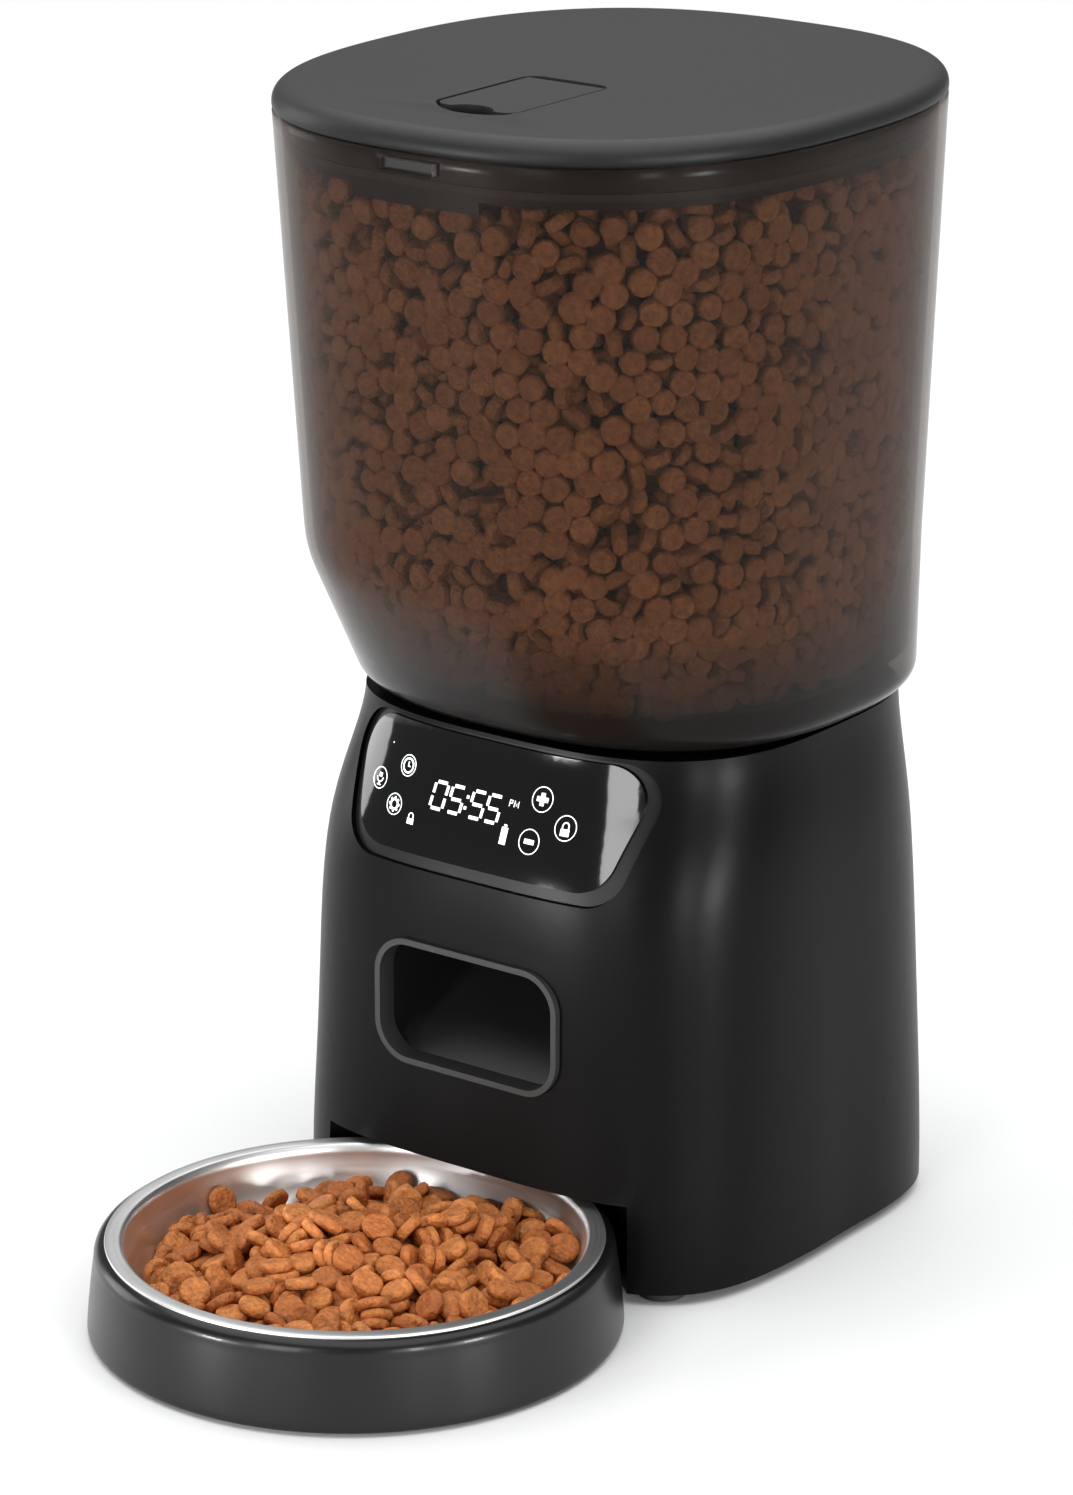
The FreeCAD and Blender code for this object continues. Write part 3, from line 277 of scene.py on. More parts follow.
def tintedTankPaintedShade(name):
    # smoky clear moulding: mostly see-through, hazier where it is looked at along its wall; painted shade makes it
    # darker and less clear towards the bottom
    net = Net(name)
    haze = net.noise(18, 4, 0.5)
    edge = net.add("ShaderNodeLayerWeight", {}, Blend=0.32, out="Facing")
    height = net.add("ShaderNodeSeparateXYZ", {}, Vector=net.coords(), out="Z")
    # painted shade: below about 228 mm the wall grows less clear and its colour falls to near black
    deep = ((0.228 - height) * 22).clamp()
    cover = (0.15 + edge * edge * 1.05 + deep * 0.42 + (haze - 0.5) * 0.03).clamp()
    clear = net.add("ShaderNodeBsdfTransparent", {}, Color=(0.755, 0.70, 0.665))
    tint = net.blend(edge, (0.022, 0.018, 0.016), (0.062, 0.056, 0.052))
    net.set(color=net.blend(deep, tint, (0.004, 0.0035, 0.003)), roughness=0.2, specular=0.22)
    mix = net.add("ShaderNodeMixShader", {}, cover, clear, Wire(net, net.shader.outputs[0]))
    net.tree.links.new(mix.socket, net.out.inputs["Surface"])
    return net.material


def kibbleSkin(name, low, high):
    # baked crumb: each piece has its own tone, with darker pores and a dusty skin
    net = Net(name)
    own = net.add("ShaderNodeAttribute", {"attribute_name": "tone"}, out="Fac")
    where = net.coords()
    crumb = net.noise(420, 5, 0.65, where)
    pores = net.add("ShaderNodeTexVoronoi", {}, Vector=where, Scale=700, out="Distance")
    tone = net.blend(own, low, high)
    tone = net.blend((crumb - 0.33) * 2.4, net.blend(0.62, tone, (0.09, 0.03, 0.01)), tone)
    net.set(color=tone, roughness=0.62 + (crumb - 0.5) * 0.25, specular=0.35,
            normal=net.bump(crumb + pores * 0.6, 0.0011, 0.8))
    return net.material


def litMark(name, color, strength):
    net = Net(name)
    net.set(color=(0.8, 0.8, 0.8), glow=net.blend(net.noise(300), color, [c * 0.94 for c in color]),
            glowStrength=strength, roughness=0.3)
    return net.material


def plainFloor():
    net = Net("floorPale")
    tone = net.blend(net.noise(2, 2), (0.8, 0.805, 0.81), (0.825, 0.825, 0.825))
    net.set(color=tone, roughness=0.6, specular=0.2)
    return net.material


# mesh makers


def addPiece(name, points, faces, material, body, smooth=True, replaced=()):
    mesh = bpy.data.meshes.new(name)
    mesh.from_pydata(points.tolist() if hasattr(points, "tolist") else points, [],
                     faces.tolist() if hasattr(faces, "tolist") else faces)
    mesh.polygons.foreach_set("use_smooth", [smooth] * len(mesh.polygons))
    mesh.materials.append(material)
    piece = bpy.data.objects.new(name, mesh)
    scene.collection.objects.link(piece)
    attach(piece, body)
    if replaced:
        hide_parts(*replaced)
    return piece


def ringFaces(rows, columns, closed=False):
    # quads between rings that each close on themselves; closed joins the last ring to the first
    row, column = np.meshgrid(np.arange(rows if closed else rows - 1), np.arange(columns), indexing="ij")
    after = (row + 1) % rows
    beside = (column + 1) % columns
    corners = [row * columns + column, row * columns + beside,
               after * columns + beside, after * columns + column]
    return np.stack(corners, -1).reshape(-1, 4)


def lathe(profile, columns, x, y):
    # (radius, height) pairs turned about the upright line through x, y
    turn = np.linspace(0, 2 * math.pi, columns, endpoint=False)
    profile = np.asarray(profile, float)
    ring = np.stack([np.cos(turn), np.sin(turn)], -1)
    flat = profile[:, None, :1] * ring[None] + np.array([x, y])
    level = np.broadcast_to(profile[:, None, 1:], flat.shape[:2] + (1,))
    return np.concatenate([flat, level], -1)


def arc(center, radius, start, end, count):
    turn = np.radians(np.linspace(start, end, count))
    return [(center[0] + radius * math.cos(a), center[1] + radius * math.sin(a)) for a in turn]


def ovalRing(half, front, rear, power, columns):
    # superellipse |x/half|^power + |y/depth|^power = 1, its points at equal steps along the curve
    turn = np.linspace(0, 2 * math.pi, columns * 8 + 1)
    across, along = np.cos(turn), np.sin(turn)
    x = half * np.sign(across) * np.abs(across) ** (2 / power)
    y = (front + rear) / 2 + (rear - front) / 2 * np.sign(along) * np.abs(along) ** (2 / power)
    run = np.concatenate([[0], np.cumsum(np.hypot(np.diff(x), np.diff(y)))])
    wanted = np.linspace(0, run[-1], columns, endpoint=False)
    return np.stack([np.interp(wanted, run, x), np.interp(wanted, run, y)], -1)


def atLevel(ring, level):
    return np.column_stack([ring, np.full(len(ring), level)])


def cutAway(piece, cutter):
    # boolean cut, kept as the piece's own mesh
    modifier = piece.modifiers.new("cut", "BOOLEAN")
    modifier.object = cutter
    modifier.solver = "EXACT"
    bpy.context.view_layer.update()
    shape = piece.evaluated_get(bpy.context.evaluated_depsgraph_get())
    mesh = bpy.data.meshes.new_from_object(shape)
    piece.modifiers.clear()
    piece.data = mesh
    bpy.data.objects.remove(cutter)


def addCutter(points, faces):
    mesh = bpy.data.meshes.new("cutter")
    mesh.from_pydata(points.tolist(), [], faces)
    cutter = bpy.data.objects.new("cutter", mesh)
    scene.collection.objects.link(cutter)
    return cutter


def cutterBox(low, high):
    corners = [(x, y, z) for x in (low[0], high[0]) for y in (low[1], high[1]) for z in (low[2], high[2])]
    faces = [(0, 1, 3, 2), (4, 6, 7, 5), (0, 4, 5, 1), (2, 3, 7, 6), (0, 2, 6, 4), (1, 5, 7, 3)]
    return addCutter(np.array(corners), faces)


def capped(rows):
    # rings joined in order, with one flat face over each end
    columns = len(rows[0])
    first = list(range(columns))[::-1]
    last = list(range((len(rows) - 1) * columns, len(rows) * columns))
    return np.concatenate(rows), ringFaces(len(rows), columns).tolist() + [first, last]


def addBar(name, outline, low, high, material, body):
    # (y, z) outline drawn out along x
    points, faces = capped([np.array([(x, y, z) for y, z in outline]) for x in (low, high)])
    bar = addPiece(name, points, faces, material, body)
    bar.data.set_sharp_from_angle(angle=math.radians(35))


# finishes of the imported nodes

bowlLow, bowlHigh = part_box("steel_bowl")
bowlForm = {"y": (bowlLow.y + bowlHigh.y) / 2, "radius": bowlHigh.x, "top": bowlHigh.z, "bottom": bowlLow.z,
            "flange": 5.4 * mm, "sheet": 0.8 * mm}

finishes = {
    "case_black": mouldedPlastic("caseBlack", (0.0022, 0.0022, 0.0023), 0.34, 0.09),
    "rubber": softRubber("footRubber", (0.02, 0.02, 0.02)),
    "steel": metalSkin("plainSteel", (0.62, 0.62, 0.63), 0.28),
    "inner_plastic": mouldedPlastic("innerPlastic", (0.03, 0.03, 0.032), 0.5),
    "cell_jacket": mouldedPlastic("cellJacket", (0.05, 0.055, 0.065), 0.3),
    "contact_metal": metalSkin("contactMetal", (0.78, 0.7, 0.5), 0.3),
    "bezel_black": mouldedPlastic("bezelBlack", (0.005, 0.005, 0.0052), 0.4, 0.2),
    "panel_gloss": glossBlack("panelGloss", (0.0015, 0.0015, 0.0017), 0.07, 0.3),
    "circuit_board": circuitBoard("circuitBoard"),
    "digit_white": mouldedPlastic("digitModule", (0.7, 0.72, 0.74), 0.4),
    "chute_plastic": mouldedPlastic("chutePlastic", (0.006, 0.006, 0.0062), 0.32, 0.3),
    "frame_grey": mouldedPlastic("frameGrey", (0.022, 0.022, 0.023), 0.36, 0.4),
    "brass": metalSkin("pinionBrass", (0.80, 0.62, 0.32), 0.25),
    "gear_plastic": mouldedPlastic("gearAcetal", (0.75, 0.75, 0.7), 0.35),
    "rotor_plastic": mouldedPlastic("rotorPlastic", (0.3, 0.3, 0.3), 0.42),
    "silicone": softRubber("silicone", (0.012, 0.012, 0.012), 0.55),
    "tank_tint": tintedTankPaintedShade("tankTint"),
    # the last colour is the painted shade at the lid's seam
    "lid_grey": lidPlasticPaintedShade("lidGrey", (0.037, 0.037, 0.0372), (0.004, 0.004, 0.004)),
    "tray_gloss": glossBlack("trayGloss", (0.003, 0.003, 0.0032), 0.3, 0.1, 0.3),
    "bowl_steel": steelBowlSkin("bowlSteel"),
}
slotOf = {part["node"]: part["material_slot"] for part in frame["record"]["subparts"]}
for nodeName, node in nodes.items():
    node.data.materials.clear()
    node.data.materials.append(finishes[slotOf[nodeName]])
print("finishes made")

# tank

lidLow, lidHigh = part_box("lid_shell")
tankForm = {"half": lidHigh.x, "front": lidLow.y, "rear": hingeAt[1] - 3.9 * mm, "seam": hingeAt[2] + 2 * mm,
            "rim": 0.6 * mm, "wall": 2.6 * mm, "floor": 184 * mm, "crease": 238 * mm, "lean": 5.8 * mm,
            "tuck": 3.6 * mm, "frontLean": 11 * mm, "frontTuck": 33 * mm, "rearLean": 5.5 * mm,
            "round": 8 * mm, "neck": 53 * mm, "neckWall": 3 * mm, "neckDrop": 15 * mm, "columns": 192,
            "power": 2.5, "softness": 0.045, "slotHalf": 11 * mm, "slotHigh": 4.2 * mm, "slotDrop": 5 * mm}
knuckle = {"radius": 3.5 * mm, "lug": 12 * mm, "near": 12.4 * mm, "far": 26.4 * mm}


def tankRing(level, inset, columns=tankForm["columns"]):
    # the outline leans in evenly to the crease, then its front tucks under
    form = tankForm
    upper = min(1.0, max(0.0, (form["seam"] - level) / (form["seam"] - form["crease"])))
    lower = (form["crease"] - level) / (form["crease"] - form["floor"])
    lower = form["softness"] * math.log1p(math.exp(min(60, lower / form["softness"])))
    rise = level - form["floor"]
    if rise < form["round"] and inset < form["wall"]:
        inset += form["round"] - math.sqrt(max(0, form["round"] ** 2 - (form["round"] - rise) ** 2))
    half = form["half"] - form["lean"] * upper - form["tuck"] * lower - inset
    front = form["front"] + form["frontLean"] * upper + form["frontTuck"] * lower + inset
    rear = form["rear"] - form["rearLean"] * upper - form["tuck"] * lower - inset
    return ovalRing(half, front, rear, form["power"], columns)


def makeTank():
    form = tankForm
    columns = form["columns"]
    top = form["seam"] - form["rim"]
    slopeTop = form["floor"] + 2 * form["wall"] + 9 * mm

    def circle(radius, level):
        ring = ovalRing(radius, rotorAt[1] - radius, rotorAt[1] + radius, 2, columns)
        return atLevel(ring, level)

    mouth = form["floor"] - form["neckDrop"]
    rows = [circle(form["neck"], z) for z in np.linspace(mouth, form["floor"], 6)]
    hem = atLevel(tankRing(form["floor"], 0), form["floor"])
    rows += [rows[-1] * (1 - s) + hem * s for s in (0.3, 0.6, 0.9, 1.0)]
    bend = form["round"] * (1 - np.cos(np.radians(np.linspace(9, 90, 10))))
    rows += [atLevel(tankRing(form["floor"] + b, 0), form["floor"] + b) for b in bend]
    walls = np.linspace(form["floor"] + form["round"], top - 0.5 * mm, 60)[1:]
    rows += [atLevel(tankRing(z, 0), z) for z in walls]
    rows += [atLevel(tankRing(top, 0.3 * mm), top), atLevel(tankRing(top, form["wall"] - 0.3 * mm), top)]
    rows += [atLevel(tankRing(z, form["wall"]), z) for z in np.linspace(top - 0.5 * mm, slopeTop, 56)]
    bore = form["neck"] - form["neckWall"]
    throat = circle(bore + 0.8 * mm, form["floor"] + form["wall"])
    skirt = rows[-1]
    rows += [skirt * (1 - s) + throat * s for s in (0.02, 0.2, 0.4, 0.6, 0.8, 1.0)]
    rows += [circle(bore, z) for z in np.linspace(form["floor"] + form["wall"] - 0.2 * mm, mouth, 6)]
    points = np.concatenate(rows)
    tank = addPiece("tankShell", points, ringFaces(len(rows), columns, True), finishes["tank_tint"], "tank",
                    replaced=["hopper"])
    slotMiddle = form["seam"] - form["slotDrop"]
    cutter = cutterBox((-form["slotHalf"], form["front"] - 0.01, slotMiddle - form["slotHigh"] / 2),
                       (form["slotHalf"], form["front"] + 0.01, slotMiddle + form["slotHigh"] / 2))
    cutAway(tank, cutter)


def makeTankLugs():
    # half knuckles either side of the lid's lug, webbed to the rear wall
    radius, near, far = knuckle["radius"], knuckle["near"], knuckle["far"]
    rear = tankForm["rear"] - 2.2 * mm
    outline = [(rear, hingeAt[2]), (rear, hingeAt[2] - radius)]
    outline += arc((hingeAt[1], hingeAt[2]), radius, 270, 540, 28)
    for name, low, high in (("tankLugLeft", -far, -near), ("tankLugRight", near, far)):
        addBar(name, outline, low, high, finishes["tank_tint"], "tank")


makeTank()
makeTankLugs()
print("tank made")

# lid

leverLow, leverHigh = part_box("latch_lever")
lidForm = {"top": leverHigh.z + 0.2 * mm, "round": 6 * mm, "wall": 2.4 * mm, "lip": 0.7 * mm,
           "gap": 1.1 * mm, "rearGap": 1.2 * mm, "corner": 5.6 * mm, "dish": (23 * mm, 12 * mm, 8 * mm),
           "dishDepth": 2.2 * mm}


def roundedRing(half, front, rear, radius, level):
    # rectangle with quarter-circle corners
    centers = ((half - radius, rear - radius, 0), (radius - half, rear - radius, 90),
               (radius - half, front + radius, 180), (half - radius, front + radius, 270))
    return np.array([point + (level,) for x, y, start in centers
                     for point in arc((x, y), radius, start, start + 90, 10)])


def makeLid():
    form = lidForm
    half, front, rear = tankForm["half"], tankForm["front"], tankForm["rear"]

    def ring(inset, level):
        oval = ovalRing(half - inset, front + inset, rear - inset, tankForm["power"], tankForm["columns"])
        return atLevel(oval, level)

    seam, top, bend = tankForm["seam"], form["top"], form["round"]
    # underside and inner wall, out over the lip, up the side, round the edge and on to the flat top
    rows = [ring(9 * mm, top - form["wall"]), ring(form["wall"] + 1 * mm, top - form["wall"]),
            ring(form["wall"], top - form["wall"] - 1 * mm), ring(form["wall"], seam),
            ring(form["lip"], seam), ring(form["lip"] * 0.3, seam + 0.5 * mm), ring(0, seam + 1.2 * mm),
            ring(0, top - bend)]
    rows += [ring(bend * (1 - math.cos(a)), top - bend * (1 - math.sin(a)))
             for a in np.radians(np.linspace(0, 90, 12))[1:]]
    rows += [ring(bend + 1.5 * mm, top), ring(bend + 4 * mm, top)]
    points, faces = capped(rows)
    lid = addPiece("lidShell", points, faces, finishes["lid_grey"], "lid", replaced=["lid_shell"])
    side, near, far = leverHigh.x + form["gap"], leverLow.y - form["gap"], leverHigh.y + form["rearGap"]
    pocket = [roundedRing(side, near, far, form["corner"], z) for z in (top - 6 * mm, top + 5 * mm)]
    cutAway(lid, addCutter(*capped(pocket)))
    # finger dish: an ellipsoid whose lowest point lies the dish's depth below the top
    wide, deep, tall = form["dish"]
    turn = ovalRing(1, -1, 1, 2, 48)
    dish = [np.column_stack([wide * math.cos(a) * turn[:, 0], leverLow.y + deep * math.cos(a) * turn[:, 1],
                             np.full(len(turn), top + tall * math.sin(a) + tall - form["dishDepth"])])
            for a in np.radians(np.linspace(-88, 88, 22))]
    cutAway(lid, addCutter(*capped(dish)))
    lid.data.set_sharp_from_angle(angle=math.radians(35))
    # lug round the hinge pin, joined to the side of the lid
    lug = [(rear - 2.4 * mm, hingeAt[2] + knuckle["radius"]), (rear - 2.4 * mm, seam + 0.3 * mm)]
    lug += arc((hingeAt[1], hingeAt[2]), knuckle["radius"], 139, 450, 30)
    addBar("lidLug", lug, -knuckle["lug"], knuckle["lug"], finishes["lid_grey"], "lid")


makeLid()
print("lid made")

# bowl and tray

trayLow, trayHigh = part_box("bowl_tray")
trayForm = {"y": bowlForm["y"], "radius": trayHigh.x, "bottom": trayLow.z, "top": trayHigh.z,
            "wall": 2.4 * mm, "shoulder": 4.6 * mm, "lean": 2.6 * mm, "foot": 1.4 * mm}


def solidOfTurn(name, profile, columns, y, material, body, replaced):
    # closed profile turned full circle: the last point joins the first
    rows = lathe(profile, columns, 0, y)
    faces = ringFaces(len(profile), columns, True)
    return addPiece(name, rows.reshape(-1, 3), faces, material, body, replaced=replaced)


def bowlProfile():
    form = bowlForm
    mouth, edge = form["radius"] - form["flange"], form["radius"]
    top, low, sheet = form["top"], form["bottom"], form["sheet"]
    foot = mouth - 24 * mm
    angles = np.linspace(0, math.pi / 2, 24)

    def wallCurve(shrink, lift):
        # quarter of a superellipse from the flat floor to the mouth
        reach = mouth - shrink - foot
        rise = top - 1.4 * mm - low - lift
        return [(foot + reach * math.sin(a) ** 0.9, low + lift + rise * (1 - math.cos(a) ** 0.9))
                for a in angles]

    shown = [(0.0002, low + sheet), (foot * 0.5, low + sheet)] + wallCurve(sheet, sheet)
    shown += arc((mouth + 0.9 * mm, top - 1.4 * mm), 1.4 * mm, 165, 90, 6)
    shown += [(edge - 2 * mm, top)] + arc((edge - 0.7 * mm, top - 0.7 * mm), 0.7 * mm, 90, -60, 6)
    hidden = [(edge - 1.6 * mm, top - sheet), (mouth + 1.2 * mm, top - sheet)]
    hidden += wallCurve(0, 0)[::-1] + [(foot * 0.5, low), (0.0002, low)]
    return shown + hidden


solidOfTurn("bowlSteel", bowlProfile()[::-1], 160, bowlForm["y"], finishes["bowl_steel"], "tray",
            ["steel_bowl"])


def trayProfile():
    # upright skirt that leans in slightly, a broad rolled shoulder and a shallow lip round the bowl
    form = trayForm
    radius, low, top = form["radius"], form["bottom"], form["top"]
    shoulder, lean, foot = form["shoulder"], form["lean"], form["foot"]
    outer = [(radius - 6 * mm, low), (radius - 1.2 * mm, low)]
    outer += arc((radius - foot, low + foot), foot, -80, 0, 6)
    side = np.linspace(0, 1, 14)[1:]
    outer += [(radius - lean * s ** 1.3, low + foot + (top - shoulder - low - foot) * s) for s in side]
    center = radius - lean - shoulder * 0.85
    outer += [(center + shoulder * 0.85 * math.cos(a), top - shoulder + shoulder * math.sin(a))
              for a in np.radians(np.linspace(0, 90, 12))[1:]]
    lip = bowlForm["radius"] - bowlForm["flange"] + 1.6 * mm
    inner = [(lip, top), (lip, top - 4 * mm), (center - 2 * mm, top - 6.5 * mm),
             (radius - 6.6 * mm, low + 4 * mm), (20 * mm, low + form["wall"]), (20 * mm, low)]
    return outer + inner


solidOfTurn("bowlTray", trayProfile(), 192, trayForm["y"], finishes["tray_gloss"], "tray", ["bowl_tray"])
# tongue that plugs into the base
tongueForm = {"half": 11.5 * mm, "near": 82 * mm, "far": 92 * mm, "low": 12.8 * mm, "high": 16.2 * mm}
tongue = [(trayForm["y"] + tongueForm[reach], tongueForm[level])
          for reach, level in (("near", "low"), ("far", "low"), ("far", "high"), ("near", "high"))]
addBar("trayTongue", tongue, -tongueForm["half"], tongueForm["half"], finishes["tray_gloss"], "tray")
print("bowl and tray made")

# lit marks on the display

# x and z of each mark on the panel, in millimetres
markForm = {"digitHigh": 8.3, "digitWide": 5.3, "digitLow": 156.0, "slant": 0.1, "bar": 1.05, "out": 0.06,
            "digits": [(-21.4, "0"), (-14.2, "5"), (-5.4, "5"), (1.2, "5")], "colon": -7.2}
segments = {"a": [(0, 2), (1, 2)], "b": [(1, 2), (1, 1)], "c": [(1, 1), (1, 0)], "d": [(0, 0), (1, 0)],
            "e": [(0, 1), (0, 0)], "f": [(0, 2), (0, 1)], "g": [(0, 1), (1, 1)]}
litSegments = {"0": "abcdef", "5": "afgcd"}


def circleLine(x, z, radius, start=0, end=360, count=28):
    return arc((x, z), radius, start, end, count)


def digitLines():
    # seven bars per digit, each short of its corners, leaning by the slant
    form = markForm
    lines = []
    for left, figure in form["digits"]:
        for key in litSegments[figure]:
            ends = np.array([(left + form["digitWide"] * x, form["digitLow"] + form["digitHigh"] * z / 2)
                             for x, z in segments[key]], float)
            inset = (ends[1] - ends[0]) * 0.13
            ends = ends + [inset, -inset]
            ends[:, 0] += (ends[:, 1] - form["digitLow"]) * form["slant"]
            lines.append((ends, form["bar"]))
    for level in (2.4, 5.9):
        spot = np.array([form["colon"] + level * form["slant"], form["digitLow"] + level])
        lines.append((spot + [[0, -0.5], [0, 0.5]], 1.0))
    return lines


def markLines():
    # each mark is a set of (points, width)
    lines = digitLines()
    for x, z, radius in ((-34.2, 166.4, 3.3), (-46.0, 159.9, 3.3), (-36.6, 153.7, 3.3), (22.4, 166.4, 3.9),
                         (20.8, 152.9, 3.9), (33.2, 159.2, 3.9)):
        lines.append((circleLine(x, z, radius), 0.28))
    # clock
    lines += [(circleLine(-34.2, 166.4, 2.2), 0.6), ([(-34.2, 167.6), (-34.2, 166.2), (-33.3, 166.2)], 0.45)]
    # microphone
    lines += [([(-46.0, 160.2), (-46.0, 161.5)], 1.5), (circleLine(-46.0, 160.2, 1.5, 180, 360, 12), 0.4),
              ([(-46.0, 158.7), (-46.0, 157.9)], 0.4), ([(-46.9, 157.8), (-45.1, 157.8)], 0.4)]
    # gear
    lines += [(circleLine(-36.6, 153.7, 1.55), 0.7)]
    for a in np.radians(np.arange(0, 360, 45)):
        way = np.array([math.cos(a), math.sin(a)])
        lines.append((np.array([-36.6, 153.7]) + np.array([1.6 * way, 2.4 * way]), 0.75))
    # locks: a small closed one and one in a ring
    for x, z, scale in ((-28.2, 150.9, 1.0), (33.2, 158.9, 1.2)):
        half, low, loop = 1.35 * scale, z - 0.9 * scale, 0.95 * scale
        shackle = [(x - loop, z)] + circleLine(x, z + 0.75 * scale, loop, 180, 0, 10) + [(x + loop, z)]
        lines += [([(x - half, low), (x + half, low)], 1.8 * scale), (shackle, 0.36 * scale)]
    # battery, plus and minus
    lines += [([(10.4, 150.2), (10.6, 155.6)], 2.5), ([(10.62, 155.9), (10.65, 156.5)], 1.2)]
    lines += [([(20.2, 166.4), (24.6, 166.4)], 1.5), ([(22.4, 164.4), (22.4, 168.4)], 1.6),
              ([(18.9, 152.9), (22.7, 152.9)], 1.5)]
    # afternoon mark: P then M
    lines += [([(10.2, 162.2), (10.3, 164.2), (11.3, 164.1), (11.3, 163.3), (10.3, 163.2)], 0.3),
              ([(12.1, 162.2), (12.2, 164.2), (13.0, 162.6), (13.8, 164.2), (13.8, 162.2)], 0.3)]
    lines.append(([(-43.6, 171.7), (-43.2, 171.7)], 0.4))
    return lines


def makeMarks():
    # a flat bar is swept along each line and dropped on to the panel's front
    panel = nodes["display_panel"]
    tree = BVHTree.FromPolygons([v.co for v in panel.data.vertices],
                                [p.vertices for p in panel.data.polygons])
    points, faces = [], []
    for line, width in markLines():
        line = np.asarray(line, float)
        closed = np.allclose(line[0], line[-1])
        if closed:
            line = line[:-1]
        before, after = np.roll(line, 1, 0), np.roll(line, -1, 0)
        if not closed:
            before[0], after[-1] = line[0], line[-1]
        way = after - before
        way /= np.linalg.norm(way, axis=1, keepdims=True)
        across = np.column_stack([-way[:, 1], way[:, 0]]) * width / 2
        start, count = len(points), len(line)
        for left, right in zip(line + across, line - across):
            for (x, z), out in ((left, 1), (right, 1), (right, 0), (left, 0)):
                hit = tree.ray_cast((x * mm, -1, z * mm), (0, 1, 0))[0]
                points.append((x * mm, hit.y - markForm["out"] * mm * out, z * mm))
        ring = ringFaces(count, 4, closed) + start
        faces += ring.tolist()
        if not closed:
            last = start + 4 * (count - 1)
            faces += [[start + 3, start + 2, start + 1, start], [last, last + 1, last + 2, last + 3]]
    addPiece("displayMarks", np.array(points), faces, litMark("litMark", (0.92, 0.96, 1.0), 1.15), "base",
             smooth=False)


makeMarks()
print("display marks made")

# dry food

kibbleForm = {"radius": 4.9 * mm, "thick": 2.1 * mm}


def kibbleShape(around):
    # coin with soft edges: flat caps, radius full at the middle band
    bands = [(0.80, 1.0), (0.95, 0.74), (1.0, 0.0), (0.95, -0.74), (0.80, -1.0)]
    turn = np.linspace(0, 2 * math.pi, around, endpoint=False)
    rings = [np.column_stack([np.cos(turn) * r, np.sin(turn) * r, np.full(around, z)]) for r, z in bands]
    walls = ringFaces(5, around)[:, ::-1]
    caps = np.array([np.arange(around), np.arange(5 * around - 1, 4 * around - 1, -1)])
    return np.concatenate(rings), walls, caps


def turnsTo(normals, spins):
    # rotation matrices whose third column is the given normal
    normals = normals / np.linalg.norm(normals, axis=1, keepdims=True)
    helper = np.where(np.abs(normals[:, 2:]) > 0.9, [[1.0, 0, 0]], [[0, 0, 1.0]])
    first = np.cross(helper, normals)
    first /= np.linalg.norm(first, axis=1, keepdims=True)
    second = np.cross(normals, first)
    c, s = np.cos(spins)[:, None], np.sin(spins)[:, None]
    return np.stack([first * c + second * s, second * c - first * s, normals], -1)


def pileOf(name, centers, turns, sizes, material, body, around):
    # every piece of food is one copy of the coin, all in one mesh
    shape, walls, caps = kibbleShape(around)
    points = np.einsum("nij,nkj->nki", turns, shape[None] * sizes[:, None, :]) + centers[:, None]
    count = len(shape)
    starts = (np.arange(len(centers)) * count)[:, None, None]
    faces = (walls[None] + starts).reshape(-1, 4).tolist()
    faces += (caps[None] + starts).reshape(-1, around).tolist()
    piece = addPiece(name, points.reshape(-1, 3), faces, material, body)
    piece.data.polygons.foreach_set("use_smooth", [len(face) == 4 for face in faces])
    tone = piece.data.attributes.new("tone", "FLOAT", "POINT")
    tone.data.foreach_set("value", np.repeat(dice.random(len(centers)), count))


# painted shade: the food in the tank is coloured darker than the same food in the bowl
tankFood = kibbleSkin("foodTank", (0.375, 0.168, 0.066), (0.49, 0.235, 0.098))
bowlFood = kibbleSkin("foodBowl", (0.56, 0.16, 0.034), (0.86, 0.31, 0.08))
fillForm = {"top": 370 * mm, "bottom": 200 * mm, "spacing": 8.9 * mm, "gap": 5.0 * mm, "around": 0.62,
            "flatShare": 0.74, "behind": 4.6 * mm, "flatShareBehind": 0.4, "rounds": 7}


def spread(width, height, spacing, rounds):
    # staggered rows of spots, shaken, then pushed apart where closer than one spacing; the sheet
    # closes on itself in x
    down, across = int(height / (spacing * 0.87)), int(width / spacing)
    row, column = np.meshgrid(np.arange(down), np.arange(across), indexing="ij")
    spots = np.stack([(column + 0.5 * (row % 2)) * width / across, row * height / down], -1).reshape(-1, 2)
    spots = (spots + dice.normal(0, spacing * 0.3, spots.shape)).astype(np.float32)
    for _ in range(rounds):
        away = spots[:, None] - spots[None]
        away[..., 0] -= width * np.round(away[..., 0] / width)
        far = np.sqrt((away ** 2).sum(-1)) + np.eye(len(spots), dtype=np.float32) * 9
        push = np.clip(spacing - far, 0, None) / far * 0.35
        spots += (away * push[..., None]).sum(1)
        spots[:, 0] %= width
        spots[:, 1] = np.clip(spots[:, 1], 0, height)
    return spots


